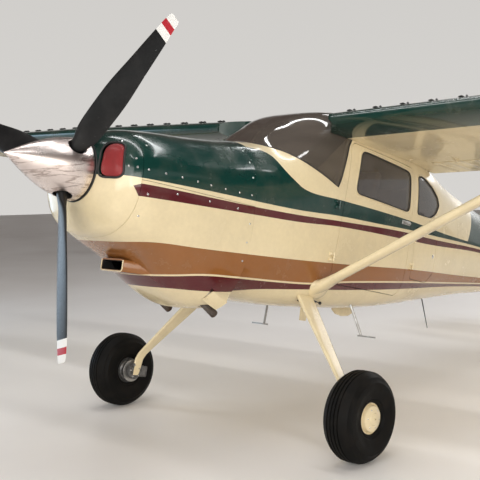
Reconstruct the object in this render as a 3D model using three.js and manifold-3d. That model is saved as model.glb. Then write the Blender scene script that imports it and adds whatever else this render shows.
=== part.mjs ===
// A high-wing light aircraft with a tailwheel, parked with its nose up.
// Inside the airframe group x is to the aircraft's left, y runs aft of the firewall and
// z is up from the thrust line, all in millimetres. The whole group then tips back
// until the main wheels and the tailwheel stand on one floor.
import * as THREE from "three";
import { mergeVertices } from "three/addons/utils/BufferGeometryUtils.js";
import Module from "manifold-3d";

const wasm = await Module();
wasm.setup();

const NOSE_UP = THREE.MathUtils.degToRad(11.15);
const FLOOR_BELOW_THRUST = 1610;
const SEAT_GAP = 0.3;
const RUNNING_GAP = 8;

const CABIN_WALL = 36;
const COWL_WALL = 7;
const GLASS = 6;
const CABIN_END = 2650;
const TAIL_END = 5785;
const BODY_SIDES = 24;
const CABIN_STEPS = 10;
const TAIL_STEPS = 7;

const SPINNER_TIP = -1538;
const SPINNER_BACK = -1048;
const SPINNER_RADIUS = 186;
const SPINNER_SIDES = 24;
const SHAFT_END = -1030;
const COWL_FRONT = -1032;
const BLADE_PLANE = -1142;
const BLADE_REACH = 1150;
const FIRST_BLADE = 46.7;
const BLADE_PITCH = 24;

const WING_ROOT = 395;
const STRUT_STATION = 2540;
const DIHEDRAL = Math.tan(THREE.MathUtils.degToRad(1.78));
const LEADING_EDGE = 590;
const LEADING_EDGE_HEIGHT = 674;
const ROOT_CHORD = 1626;
const TIP_CHORD = 1130;
const TIP_RIB = 5200;
const WING_TIP = 5460;

const TYRE_RADIUS = 284;
const AXLE = { x: 1164, y: 470, z: heightOnFloor(470, TYRE_RADIUS) };
const TYRE_WIDTH = 216;
const RIM_RADIUS = 98;
const BORE = 18.8;
const WHEEL_SIDES = 22;
const TAIL_WHEEL_SIDES = 14;

const TAIL_TYRE_RADIUS = 128;
const TAIL_AXLE = { y: 5600, z: heightOnFloor(5600, TAIL_TYRE_RADIUS) };

// The height in the airframe of something at y that is this far above the floor.
function heightOnFloor(y, above) {
  return (above - FLOOR_BELOW_THRUST + y * Math.sin(NOSE_UP)) / Math.cos(NOSE_UP);
}

const COLOURS = {
  cream: [0.74, 0.62, 0.39, 0.3, 0.0],
  green: [0.006, 0.04, 0.032, 0.25, 0.0],
  chrome: [0.85, 0.85, 0.86, 0.08, 1.0],
  black: [0.02, 0.02, 0.022, 0.5, 0.0],
  red: [0.3, 0.02, 0.02, 0.9, 0.0],
  glass: [0.16, 0.13, 0.11, 0.05, 0.0],
  rubber: [0.02, 0.02, 0.02, 0.85, 0.0],
  steel: [0.5, 0.5, 0.5, 0.4, 1.0],
  iron: [0.1, 0.1, 0.1, 0.7, 0.6],
  leather: [0.16, 0.1, 0.06, 0.7, 0.0],
  trim: [0.05, 0.05, 0.05, 0.8, 0.0],
};

// Sections: y station, half width, top, bottom, height of the widest point, squareness above and below.
const COWL_SECTIONS = [
  [COWL_FRONT, 235, 172, -225, -8, 2.2, 2.1],
  [-1000, 345, 210, -292, -10, 2.3, 2.2],
  [-955, 405, 246, -354, -15, 2.4, 2.3],
  [-880, 443, 282, -385, -22, 2.5, 2.4],
  [-750, 466, 310, -434, -30, 2.5, 2.6],
  [-600, 480, 332, -502, -34, 2.5, 2.5],
  [-390, 492, 358, -640, -40, 2.5, 2.5],
  [-170, 504, 390, -727, -45, 2.6, 2.7],
  [0, 512, 424, -722, -50, 2.6, 2.9],
];
const BODY_SECTIONS = [
  [0, 512, 424, -614, -50, 2.6, 3.2],
  [250, 530, 478, -632, -50, 2.7, 3.5],
  [500, 545, 655, -640, -50, 2.9, 4.2],
  [720, 556, 792, -632, -50, 3.6, 4.4],
  [950, 560, 848, -618, -40, 4.4, 4.4],
  [1500, 556, 844, -566, -20, 4.4, 4.0],
  [2000, 512, 780, -498, 10, 3.8, 3.4],
  [2650, 408, 668, -392, 50, 2.6, 2.8],
  [3400, 305, 552, -268, 90, 2.3, 2.4],
  [4500, 180, 420, -110, 130, 2.2, 2.2],
  [5300, 95, 325, 0, 140, 2.1, 2.1],
  [5785, 45, 262, 48, 150, 2.0, 2.0],
];

// Wing sections: x station, leading edge y, leading edge z above the root's, chord, thickness, incidence in degrees.
const WING_SECTIONS = [
  [WING_ROOT, LEADING_EDGE, 0, ROOT_CHORD, 0.12, 1.5],
  [STRUT_STATION, LEADING_EDGE, 0, ROOT_CHORD, 0.12, 1.5],
  [TIP_RIB, 704, 0, TIP_CHORD, 0.12, -1.5],
  [5340, 738, 2, 1050, 0.11, -1.5],
  [5425, 800, 8, 880, 0.085, -1.5],
  [WING_TIP, 880, 14, 640, 0.05, -1.5],
];

// Moving surfaces of a wing: name, inner and outer x, hinge place along the chord, stations of the hinges.
const WING_SURFACES = [
  { name: "flap", inner: 650, outer: 2600, hinge: 0.74, stations: [950, 2300] },
  { name: "aileron", inner: 2680, outer: 5120, hinge: 0.77, stations: [3000, 4700] },
];

// Blade sections: radius, chord, thickness, twist in degrees, sweep of the middle line.
const BLADE_SECTIONS = [
  [95, 84, 80, 38, 0],
  [190, 102, 64, 30, 0],
  [280, 160, 42, 18, 0],
  [420, 178, 30, 15, 0],
  [600, 180, 22, 12, 0],
  [800, 152, 15, 7, 0],
  [980, 126, 11, 3, 0],
  [1100, 100, 8, 1, 0],
  [1140, 86, 6, 1, 3],
  [BLADE_REACH, 66, 4, 1, 6],
];

function point(x, y, z) {
  return new THREE.Vector3(x, y, z);
}

function signedVolume(positions, index) {
  const corner = (k) => point(positions[3 * k], positions[3 * k + 1], positions[3 * k + 2]);
  let sum = 0;
  for (let i = 0; i < index.length; i += 3) {
    const side = corner(index[i + 1]).cross(corner(index[i + 2]));
    sum += corner(index[i]).dot(side);
  }
  return sum / 6;
}

// A closed mesh as a solid, with its faces turned outwards.
function solid(geometry) {
  const bare = geometry.clone();
  bare.deleteAttribute("normal");
  bare.deleteAttribute("uv");
  const merged = mergeVertices(bare);
  const vertProperties = new Float32Array(merged.attributes.position.array);
  const triVerts = new Uint32Array(merged.index.array);
  if (signedVolume(vertProperties, triVerts) < 0) triVerts.reverse();
  return new wasm.Manifold(new wasm.Mesh({ numProp: 3, vertProperties, triVerts }));
}

function join(first, ...others) {
  return others.reduce((sum, other) => sum.add(other), first);
}

function cut(first, ...others) {
  return others.reduce((rest, other) => rest.subtract(other), first);
}

function surface(body) {
  const mesh = body.getMesh();
  const geometry = new THREE.BufferGeometry();
  geometry.setAttribute("position", new THREE.BufferAttribute(mesh.vertProperties, 3));
  geometry.setIndex(new THREE.BufferAttribute(mesh.triVerts, 1));
  return geometry;
}

function mirrored(geometry) {
  const other = geometry.clone();
  other.scale(-1, 1, 1);
  const index = other.index.array;
  for (let i = 0; i < index.length; i += 3) {
    [index[i + 1], index[i + 2]] = [index[i + 2], index[i + 1]];
  }
  return other;
}

// A closed skin over rings of equal length; each ring is flat, and place lays it in space.
function loft(rings, place) {
  const count = rings[0].length;
  const positions = [];
  const index = [];
  rings.forEach((ring, r) => ring.forEach((p) => positions.push(...place(p, r).toArray())));
  for (let r = 0; r + 1 < rings.length; r += 1) {
    for (let k = 0; k < count; k += 1) {
      const a = r * count + k;
      const b = r * count + (k + 1) % count;
      index.push(a, b, b + count, a, b + count, a + count);
    }
  }
  const last = (rings.length - 1) * count;
  for (const [a, b, c] of THREE.ShapeUtils.triangulateShape(rings[0], [])) {
    index.push(a, c, b);
  }
  for (const [a, b, c] of THREE.ShapeUtils.triangulateShape(rings[rings.length - 1], [])) {
    index.push(last + a, last + b, last + c);
  }
  const geometry = new THREE.BufferGeometry();
  geometry.setAttribute("position", new THREE.Float32BufferAttribute(positions, 3));
  geometry.setIndex(index);
  return solid(geometry);
}

// One row of a table at any station, each column on a smooth curve through the rows beside it.
function rowAt(table, station) {
  const last = table.length - 2;
  let i = Math.min(last, Math.max(0, table.findIndex((row) => row[0] > station) - 1));
  if (station >= table[table.length - 1][0]) i = last;
  const [a, b] = [table[i], table[i + 1]];
  const span = b[0] - a[0];
  const t = Math.min(1, Math.max(0, (station - a[0]) / span));
  const before = table[Math.max(0, i - 1)];
  const after = table[Math.min(table.length - 1, i + 2)];
  return a.map((value, k) => {
    const slopeA = (b[k] - before[k]) / (b[0] - before[0]) * span;
    const slopeB = (after[k] - a[k]) / (after[0] - a[0]) * span;
    const rise = b[k] - value;
    const bend = 3 * rise - 2 * slopeA - slopeB;
    return value + t * (slopeA + t * (bend + t * (slopeA + slopeB - 2 * rise)));
  });
}

function roundPower(value, power) {
  return Math.sign(value) * Math.abs(value) ** power;
}

function bodyRing(station, inset, count, table) {
  const [, half, top, bottom, widest, squareTop, squareLow] = rowAt(table, station);
  return Array.from({ length: count }, (_, k) => {
    const angle = (k + 0.5) / count * 2 * Math.PI;
    const up = Math.sin(angle) > 0;
    const power = 2 / (up ? squareTop : squareLow);
    const reach = up ? top - inset - widest : widest - bottom - inset;
    const x = (half - inset) * roundPower(Math.cos(angle), power);
    return new THREE.Vector2(x, widest + reach * roundPower(Math.sin(angle), power));
  });
}

function bodySolid(front, back, steps, inset, table = BODY_SECTIONS) {
  const stations = Array.from({ length: steps + 1 }, (_, k) => front + (back - front) * k / steps);
  const rings = stations.map((station) => bodyRing(station, inset, BODY_SIDES, table));
  return loft(rings, (p, r) => point(p.x, stations[r], p.y));
}

// The height of the underside of a section this far out from the middle.
function underside(table, station, x) {
  const [, half, , bottom, widest, , squareLow] = rowAt(table, station);
  return widest - (widest - bottom) * (1 - (x / half) ** squareLow) ** (1 / squareLow);
}

function outline(corners, radius) {
  const shape = new THREE.Shape();
  corners.forEach((corner, i) => {
    const here = new THREE.Vector2(...corner);
    const before = new THREE.Vector2(...corners[(i + corners.length - 1) % corners.length]);
    const after = new THREE.Vector2(...corners[(i + 1) % corners.length]);
    const start = before.sub(here).setLength(radius).add(here);
    const end = after.sub(here).setLength(radius).add(here);
    if (i) shape.lineTo(start.x, start.y);
    else shape.moveTo(start.x, start.y);
    shape.quadraticCurveTo(here.x, here.y, end.x, end.y);
  });
  shape.closePath();
  return shape;
}

function extruded(corners, depth, radius) {
  const shape = radius ? outline(corners, radius) : new THREE.Shape(corners.map((c) => new THREE.Vector2(...c)));
  return new THREE.ExtrudeGeometry(shape, { depth, bevelEnabled: false, curveSegments: 3, steps: 1 });
}

// A side-view outline in y and z, carried across from x low to x high.
function sideSlab(corners, low, high, radius = 0) {
  const geometry = extruded(corners, high - low, radius);
  geometry.applyMatrix4(new THREE.Matrix4().makeBasis(point(0, 1, 0), point(0, 0, 1), point(1, 0, 0)));
  geometry.translate(low, 0, 0);
  return solid(geometry);
}

// A plan-view outline in x and y, carried up from z low to z high.
function planSlab(corners, low, high, radius = 0) {
  const geometry = extruded(corners, high - low, radius);
  geometry.translate(0, 0, low);
  return solid(geometry);
}

// A front-view outline in x and z, carried aft from y low to y high.
function frontSlab(corners, low, high, radius = 0) {
  const geometry = extruded(corners, high - low, radius);
  geometry.applyMatrix4(new THREE.Matrix4().makeBasis(point(1, 0, 0), point(0, 0, 1), point(0, -1, 0)));
  geometry.translate(0, high, 0);
  return solid(geometry);
}

function block(x0, x1, y0, y1, z0, z1) {
  const geometry = new THREE.BoxGeometry(x1 - x0, y1 - y0, z1 - z0);
  geometry.translate((x0 + x1) / 2, (y0 + y1) / 2, (z0 + z1) / 2);
  return solid(geometry);
}

function rod(from, to, fromRadius, toRadius = fromRadius, sides = 14) {
  const axis = to.clone().sub(from);
  const geometry = new THREE.CylinderGeometry(toRadius, fromRadius, axis.length(), sides);
  geometry.applyQuaternion(new THREE.Quaternion().setFromUnitVectors(point(0, 1, 0), axis.clone().normalize()));
  geometry.translate(...from.clone().add(to).multiplyScalar(0.5).toArray());
  return solid(geometry);
}

// A profile of radius and distance, turned about a line through centre along x or along y.
// What turns about x is set so that one of its flats lies on the floor.
function turned(profile, centre, along, sides = 40) {
  const geometry = new THREE.LatheGeometry(profile.map((p) => new THREE.Vector2(...p)), sides);
  if (along === "x") {
    geometry.rotateZ(-Math.PI / 2);
    geometry.rotateX(NOSE_UP + Math.PI / sides);
  }
  geometry.translate(...centre.toArray());
  return solid(geometry);
}

const parts = new Map();
const materials = new Map();

function material(colour) {
  if (!materials.has(colour)) {
    const [r, g, b, roughness, metalness] = COLOURS[colour];
    const paint = new THREE.MeshStandardMaterial({ color: new THREE.Color(r, g, b), roughness, metalness });
    if (colour === "glass") {
      paint.transparent = true;
      paint.opacity = 0.45;
    }
    materials.set(colour, paint);
  }
  return materials.get(colour);
}

function add(name, body, colour) {
  const mesh = new THREE.Mesh(body.isBufferGeometry ? body : surface(body), material(colour));
  mesh.name = name;
  parts.set(name, mesh);
}

function addPair(name, leftBody, colour) {
  const left = surface(leftBody);
  add(`${name}_left`, left, colour);
  add(`${name}_right`, mirrored(left), colour);
}

// Propeller: spinner shell, hub with its back plate, and three twisted blades.
function spinnerRadius(y) {
  const t = (y - SPINNER_TIP) / (SPINNER_BACK - SPINNER_TIP);
  return SPINNER_RADIUS * Math.sin(Math.min(1, t) * Math.PI / 2);
}

const blades = Array.from({ length: 3 }, (_, k) => THREE.MathUtils.degToRad(FIRST_BLADE + 120 * k));
const bladeDirection = (angle) => point(Math.sin(angle), 0, Math.cos(angle));
const bladeAt = (angle, radius) => bladeDirection(angle).multiplyScalar(radius).setY(BLADE_PLANE);

function spinner() {
  const steps = 7;
  const wall = 5;
  const outer = Array.from({ length: steps + 1 }, (_, k) => {
    const y = SPINNER_TIP + (SPINNER_BACK - SPINNER_TIP) * (k / steps) ** 1.4;
    return [k ? spinnerRadius(y) : 0, y];
  });
  const inner = outer.slice(2).map(([r, y]) => [r - wall, y]).reverse();
  const profile = [...outer, [inner[0][0], SPINNER_BACK], ...inner.slice(1), [0, inner[inner.length - 1][1]]];
  let shell = turned(profile.reverse(), point(0, 0, 0), "y", SPINNER_SIDES);
  for (const angle of blades) {
    shell = cut(shell, rod(bladeAt(angle, 60), bladeAt(angle, 260), 58, 58, 12));
  }
  return shell;
}

function hub() {
  const plate = turned([[0, 0], [SPINNER_RADIUS - 7, 0], [SPINNER_RADIUS - 7, 10], [0, 10]], point(0, SPINNER_BACK - 12, 0), "y", SPINNER_SIDES);
  const shaft = rod(point(0, SPINNER_BACK - 4, 0), point(0, SHAFT_END, 0), 62);
  const barrel = rod(point(0, SPINNER_BACK - 150, 0), point(0, SPINNER_BACK - 4, 0), 66);
  const sockets = blades.map((angle) => rod(bladeAt(angle, 0), bladeAt(angle, 94), 52, 52, 12));
  return join(plate, shaft, barrel, ...sockets);
}

function blade(angle) {
  const count = 14;
  const rings = BLADE_SECTIONS.map(([, chord, thick, twist, sweep], r) => {
    const turn = THREE.MathUtils.degToRad(BLADE_PITCH - 18 + twist);
    const power = r < 2 ? 1 : 1.25;
    return Array.from({ length: count }, (_, k) => {
      const t = 2 * Math.PI * k / count;
      const along = chord / 2 * Math.cos(t) + sweep;
      const across = thick / 2 * Math.sign(Math.sin(t)) * Math.abs(Math.sin(t)) ** power;
      const u = along * Math.cos(turn) - across * Math.sin(turn);
      return new THREE.Vector2(u, along * Math.sin(turn) + across * Math.cos(turn));
    });
  });
  const out = bladeDirection(angle);
  const side = point(Math.cos(angle), 0, -Math.sin(angle));
  return loft(rings, (p, r) => out.clone().multiplyScalar(BLADE_SECTIONS[r][0])
    .addScaledVector(side, p.x).add(point(0, BLADE_PLANE + p.y, 0)));
}

add("spinner", spinner(), "chrome");
add("propeller_hub", hub(), "steel");
blades.forEach((angle, k) => add(`blade_${k + 1}`, blade(angle), "black"));

// Nose: bowl with the two inlets, upper and lower cowl, scoop, cowl flaps and exhaust stacks.
const BOWL_BACK = -890;
const COWL_SPLIT = -34;
const NOSE_STEPS = 10;
const FIREWALL_FRONT = -8;
const INLET = { inner: 205, outer: 382, low: -40, high: 170, corner: 62 };
const inletCorners = (grow) => [
  [INLET.inner - grow, INLET.low - grow], [INLET.outer + grow, INLET.low - grow],
  [INLET.outer - 24 + grow, INLET.high + grow], [INLET.inner - grow, INLET.high + grow],
];

const cowlSolid = (front, back, inset) => bodySolid(front, back, NOSE_STEPS, inset, COWL_SECTIONS);
const noseOuter = cowlSolid(COWL_FRONT, 0, 0);
const noseInner = cowlSolid(COWL_FRONT + 12, 20, COWL_WALL);
const noseShell = cut(noseOuter, noseInner, block(-700, 700, FIREWALL_FRONT - SEAT_GAP, 50, -900, 900));
const flipX = (body) => solid(mirrored(surface(body)));
const inletHole = frontSlab(inletCorners(0), -1300, -900, INLET.corner);
const plugCore = cut(cowlSolid(COWL_FRONT + 2, -700, 3), cowlSolid(COWL_FRONT + 60, -690, 60));
const plugSolid = plugCore.intersect(frontSlab(inletCorners(-1), -1100, -880, INLET.corner - 2));

function bowl() {
  const front = noseShell.intersect(block(-700, 700, -1300, BOWL_BACK, -900, 900));
  const shaftHole = rod(point(0, -1200, 0), point(0, -1000, 0), 120, 120, 20);
  return cut(front, shaftHole, inletHole, flipX(inletHole));
}

// The scoop is a funnel: half width, top and bottom at its mouth and where it ends inside the cowl.
const SCOOP = { mouth: -680, back: -450, wall: 10, rings: [[105, -480, -560], [200, -490, -560]] };

function scoop(inset) {
  const rings = SCOOP.rings.map(([half, top, bottom]) => [
    new THREE.Vector2(-half + inset, bottom + inset), new THREE.Vector2(half - inset, bottom + inset),
    new THREE.Vector2(half - inset, top - inset), new THREE.Vector2(-half + inset, top - inset),
  ]);
  return loft(rings, (p, r) => point(p.x, r ? SCOOP.back : SCOOP.mouth - inset, p.y));
}

const EXHAUST = {
  port: point(212, -400, -235.3), bend: point(214, -372, -508), end: point(222, 38, -746), radius: 27,
};

function exhaust() {
  const drop = rod(EXHAUST.port, EXHAUST.bend, EXHAUST.radius, EXHAUST.radius, 12);
  const elbow = new THREE.SphereGeometry(EXHAUST.radius, 10, 7);
  elbow.translate(...EXHAUST.bend.toArray());
  const stack = rod(EXHAUST.bend, EXHAUST.end, EXHAUST.radius, EXHAUST.radius, 12);
  const mouth = EXHAUST.end.clone().lerp(EXHAUST.bend, -0.05);
  const bore = rod(EXHAUST.end.clone().lerp(EXHAUST.bend, 0.4), mouth, EXHAUST.radius - 3, EXHAUST.radius - 3, 12);
  const top = block(0, 400, -500, -300, EXHAUST.port.z, 0);
  return cut(join(drop, solid(elbow), stack), bore, top);
}

// Cowl flaps: the corner panels at the back of the lower cowl, shown open. Each hinge pin lies
// in the flat facet between the two rings of the cowl beside it.
const COWL_FLAP = { inner: 300, outer: 446, front: -160, back: -16, gap: 7, open: 20, knuckle: 5, pinInner: 262, pinOuter: 350 };
const flapRings = [8, 9].map((k) => COWL_FRONT * (1 - k / NOSE_STEPS));
const flapShare = (COWL_FLAP.front - flapRings[0]) / (flapRings[1] - flapRings[0]);
const flapHeights = flapRings.map((station) => underside(COWL_SECTIONS, station, COWL_FLAP.inner));
const flapHeight = THREE.MathUtils.lerp(...flapHeights, flapShare) + COWL_WALL / 2;
const flapHinge = point(0, COWL_FLAP.front, flapHeight);

function flapPin(from, to) {
  return rod(flapHinge.clone().setX(from), flapHinge.clone().setX(to), COWL_FLAP.knuckle, COWL_FLAP.knuckle, 8);
}

function flapZone(gap) {
  return block(COWL_FLAP.inner - gap, COWL_FLAP.outer + gap, COWL_FLAP.front - gap, COWL_FLAP.back + gap, -900, -380);
}

function cowlFlap() {
  const panel = surface(join(noseShell.intersect(flapZone(0)), flapPin(COWL_FLAP.inner, COWL_FLAP.pinOuter)));
  panel.translate(0, -flapHinge.y, -flapHinge.z);
  panel.rotateX(-THREE.MathUtils.degToRad(COWL_FLAP.open));
  panel.translate(0, flapHinge.y, flapHinge.z);
  return solid(panel);
}

function cowlLower() {
  const zone = block(-700, 700, BOWL_BACK + SEAT_GAP, FIREWALL_FRONT - SEAT_GAP, -900, COWL_SPLIT);
  const shell = noseShell.intersect(zone);
  const inside = cut(noseInner, block(-700, 700, -1300, BOWL_BACK, -900, 900));
  const funnel = cut(scoop(0), inside);
  const exhaustHole = rod(EXHAUST.bend, EXHAUST.end, EXHAUST.radius + 11, EXHAUST.radius + 11, 12);
  const flapRoom = flapZone(COWL_FLAP.gap).add(block(COWL_FLAP.inner, COWL_FLAP.outer, -60, 0, -900, -380));
  const open = cut(join(shell, funnel), scoop(SCOOP.wall), exhaustHole, flipX(exhaustHole), flapRoom, flipX(flapRoom));
  const pin = flapPin(COWL_FLAP.pinInner, COWL_FLAP.inner - 0.6);
  return join(open, pin, flipX(pin));
}

add("nose_bowl", bowl(), "green");
addPair("inlet_plug", plugSolid, "red");
add("cowl_upper", noseShell.intersect(block(-700, 700, BOWL_BACK + SEAT_GAP, 0, COWL_SPLIT + SEAT_GAP, 900)), "green");
add("cowl_lower", cowlLower(), "cream");
addPair("exhaust", exhaust(), "iron");
addPair("cowl_flap", cowlFlap(), "cream");

// Firewall and the engine as one block with its mount and crankcase nose.
const ENGINE = { half: 350, front: -860, back: -260, low: -235, high: 150 };

function engine() {
  const corners = [[-300, -200], [300, -200], [-260, 150], [260, 150]];
  const mounts = corners.map(([x, z]) => rod(point(x, ENGINE.back - 20, z), point(x, FIREWALL_FRONT - SEAT_GAP, z), 14, 14, 8));
  const caseNose = rod(point(0, ENGINE.front + 20, 0), point(0, SHAFT_END + 0.5, 0), 70);
  return join(block(-ENGINE.half, ENGINE.half, ENGINE.front, ENGINE.back, ENGINE.low, ENGINE.high), caseNose, ...mounts);
}

add("engine", engine(), "iron");
add("firewall", bodySolid(FIREWALL_FRONT, -SEAT_GAP, 1, 0.5), "steel");

// Cabin: hollow shell with the doorways and windows cut, doors, glass, floor, seats and panel.
const cabinOuter = bodySolid(0, CABIN_END, CABIN_STEPS, 0);
const cabinInner = bodySolid(14, CABIN_END - 14, CABIN_STEPS, CABIN_WALL);
const cabinWalls = cut(cabinOuter, cabinInner);
const glassLayer = cut(bodySolid(0, CABIN_END, CABIN_STEPS, 4), bodySolid(-5, CABIN_END + 5, CABIN_STEPS, 4 + GLASS));

const WINDSHIELD = [
  [96, 470], [330, 402], [560, 318], [768, 244], [792, 300], [868, 556], [926, 650], [935, 700], [935, 1000], [96, 1000],
];
const DOOR = { frontLow: 792, frontHigh: 905, back: 1752, low: -430, high: 596, gap: 7 };
const DOOR_CORNERS = [
  [DOOR.frontLow, DOOR.low], [DOOR.back - 20, DOOR.low], [DOOR.back, DOOR.high - 22], [DOOR.frontHigh, DOOR.high],
];
const DOOR_WINDOW = [[973, 240], [1698, 222], [1688, 534], [1020, 560]];
const REAR_WINDOW = [
  [1833, 233], [2078, 242], [2177, 291], [2240, 369], [2213, 431], [2106, 494], [1976, 534], [1900, 545], [1826, 530],
];
const BAGGAGE_DOOR = [[1836, -280], [2150, -280], [2240, -190], [2240, 118], [1836, 128]];

function grown(corners, amount) {
  const centre = corners.reduce((sum, c) => [sum[0] + c[0] / corners.length, sum[1] + c[1] / corners.length], [0, 0]);
  return corners.map(([a, b]) => [a + amount * Math.sign(a - centre[0]), b + amount * Math.sign(b - centre[1])]);
}

function cabinShell() {
  const doorway = sideSlab(grown(DOOR_CORNERS, DOOR.gap), 200, 800, 60);
  const rearOpening = sideSlab(REAR_WINDOW, 200, 800, 26);
  const baggage = sideSlab(grown(BAGGAGE_DOOR, 6), 200, 800, 30);
  const windshieldOpening = sideSlab(WINDSHIELD, -900, 900);
  return cut(cabinWalls, doorway, flipX(doorway), rearOpening, flipX(rearOpening), baggage, windshieldOpening);
}

function windshield() {
  return glassLayer.intersect(sideSlab(grown(WINDSHIELD, -0.6), -900, 900));
}

// Door hinges: a knuckle on the body below and one on the door above, turned about the same line.
const KNUCKLE = { length: 30, gap: 0.3 };
const DOOR_HINGE = { x: 574, y: 786, radius: 9, heights: [-250, 120] };
const BAGGAGE_HINGE = { x: 542, y: 1832, radius: 8, heights: [-190, 30] };

function knuckles({ x, y, radius, heights }, side, tabs) {
  return heights.flatMap((height) => {
    const [near, far] = [height + side * KNUCKLE.gap, height + side * KNUCKLE.length];
    const plates = tabs(height).map((tab) => block(...tab, Math.min(near, far), Math.max(near, far)));
    return [rod(point(x, y, near), point(x, y, far), radius, radius, 8), ...plates];
  });
}
const doorFront = (z) => DOOR.frontLow + (z - DOOR.low) / (DOOR.high - DOOR.low) * (DOOR.frontHigh - DOOR.frontLow);
const doorKnuckles = knuckles(DOOR_HINGE, 1, (z) => [
  [561, 577, 786, doorFront(z) + 40], [530, 577, doorFront(z) + 5, doorFront(z) + 40],
]);
const frameKnuckles = knuckles(DOOR_HINGE, -1, () => [[530, 577, 762, 785]]);
const baggageKnuckles = knuckles(BAGGAGE_HINGE, 1, () => [[516, 548, 1839, 1866]]);
const baggageFrameKnuckles = knuckles(BAGGAGE_HINGE, -1, () => [[512, 548, 1806, 1827]]);

add("cabin_shell", join(cabinShell(), ...frameKnuckles, ...frameKnuckles.map(flipX), ...baggageFrameKnuckles), "cream");
add("windshield", windshield(), "glass");

function door() {
  const panel = cabinWalls.intersect(sideSlab(DOOR_CORNERS, 200, 800, 56));
  return join(cut(panel, sideSlab(DOOR_WINDOW, 200, 800, 60)), ...doorKnuckles);
}

addPair("door", door(), "cream");
addPair("door_glass", glassLayer.intersect(sideSlab(grown(DOOR_WINDOW, -0.4), 200, 800, 60)), "glass");
addPair("rear_window", glassLayer.intersect(sideSlab(grown(REAR_WINDOW, -0.4), 200, 800, 26)), "glass");
add("baggage_door", join(cabinWalls.intersect(sideSlab(BAGGAGE_DOOR, 200, 800, 30)), ...baggageKnuckles), "cream");

const FLOOR = { low: -410, high: -385 };
const cabinSpace = bodySolid(14, CABIN_END - 14, CABIN_STEPS, CABIN_WALL + SEAT_GAP);
add("cabin_floor", cabinSpace.intersect(block(-600, 600, 40, 2300, FLOOR.low, FLOOR.high)), "trim");

function panel() {
  const face = cabinSpace.intersect(sideSlab([[470, -60], [500, -60], [430, 340], [150, 420], [150, 390], [400, 320]], -600, 600));
  return face;
}
add("instrument_panel", panel(), "trim");

function yoke() {
  const centre = point(255, 640, 190);
  const shaft = rod(point(255, 459, 190), centre, 11, 11, 8);
  const rim = [
    rod(point(255 - 105, 640, 150), point(255 + 105, 640, 150), 13, 13, 8),
    rod(point(255 - 105, 640, 145), point(255 - 130, 640, 275), 13, 11, 8),
    rod(point(255 + 105, 640, 145), point(255 + 130, 640, 275), 13, 11, 8),
  ];
  return join(shaft, rod(point(255, 640, 140), point(255, 640, 205), 16, 16, 8), ...rim);
}
addPair("control_yoke", yoke(), "black");

function seat(inner, outer, front, low) {
  const cushion = sideSlab([
    [front, low], [front + 470, low - 20], [front + 470, low + 70], [front + 500, low + 90],
    [front + 640, low + 640], [front + 545, low + 660], [front + 400, low + 120], [front, low + 120],
  ], inner, outer, 12);
  const legs = block(inner + 60, outer - 60, front + 40, front + 430, FLOOR.high + SEAT_GAP, low + 20);
  return join(cushion, legs);
}
addPair("front_seat", seat(40, 470, 790, -170), "leather");
add("rear_bench", cabinSpace.intersect(seat(-430, 430, 1370, -190)), "leather");

// Tailcone, with its top cut level under the stabilizer.
const STABILIZER = { level: 305, half: 48.2, front: 4850, hinge: 5560 };
const seatLevel = STABILIZER.level - STABILIZER.half - SEAT_GAP;
const tailOuter = bodySolid(CABIN_END + SEAT_GAP, TAIL_END, TAIL_STEPS, 0);
add("tailcone", cut(tailOuter, block(-400, 400, STABILIZER.front - 12, 6000, seatLevel, 700)), "green");

// Wings: solid four-digit sections, with a flap and an aileron parted from the trailing edge.
function camberLine(t) {
  const [rise, place] = [0.02, 0.4];
  const side = t < place ? place : 1 - place;
  return rise * (2 * place * t - t * t + (t < place ? 0 : 1 - 2 * place)) / side ** 2;
}

function halfThickness(t, thickness) {
  return 5 * thickness * (0.2969 * Math.sqrt(t) - 0.126 * t - 0.3516 * t ** 2 + 0.2843 * t ** 3 - 0.1015 * t ** 4);
}

// Points of a wing section, over the top from the trailing edge and back along the bottom.
function section(chord, thickness, incidence, camber, steps = 8) {
  const along = Array.from({ length: steps + 1 }, (_, k) => (1 - Math.cos(Math.PI * k / steps)) / 2);
  const blunt = (t) => halfThickness(t, thickness) + 0.0012 * t;
  const upper = along.slice().reverse().map((t) => [t, camber * camberLine(t) + blunt(t)]);
  const lower = along.slice(1).map((t) => [t, camber * camberLine(t) - blunt(t)]);
  const tilt = THREE.MathUtils.degToRad(incidence);
  return [...upper, ...lower].map(([t, z]) => new THREE.Vector2(
    chord * (t * Math.cos(tilt) + z * Math.sin(tilt)), chord * (z * Math.cos(tilt) - t * Math.sin(tilt)),
  ));
}

function wingPlace(x, y, z) {
  return point(x, y, LEADING_EDGE_HEIGHT + x * DIHEDRAL + z);
}

const wingWhole = loft(
  WING_SECTIONS.map(([, , , chord, thickness, incidence]) => section(chord, thickness, incidence, 1)),
  (p, r) => wingPlace(WING_SECTIONS[r][0], WING_SECTIONS[r][1] + p.x, WING_SECTIONS[r][2] + p.y),
);

function wingRow(x) {
  const i = WING_SECTIONS.findIndex((row) => row[0] >= x) || 1;
  const [a, b] = [WING_SECTIONS[i - 1], WING_SECTIONS[i]];
  const t = (x - a[0]) / (b[0] - a[0]);
  return a.map((value, k) => value + t * (b[k] - value));
}

// The hinge point of a surface at a station, in the middle of the section, and the half depth there.
function hingeAt(x, place) {
  const [, front, rise, chord, thickness, incidence] = wingRow(x);
  const tilt = THREE.MathUtils.degToRad(incidence);
  const z = chord * camberLine(place);
  const centre = wingPlace(x, front + chord * place + z * Math.sin(tilt), rise + z - chord * place * Math.sin(tilt));
  return { centre, half: chord * halfThickness(place, thickness) };
}

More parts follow.
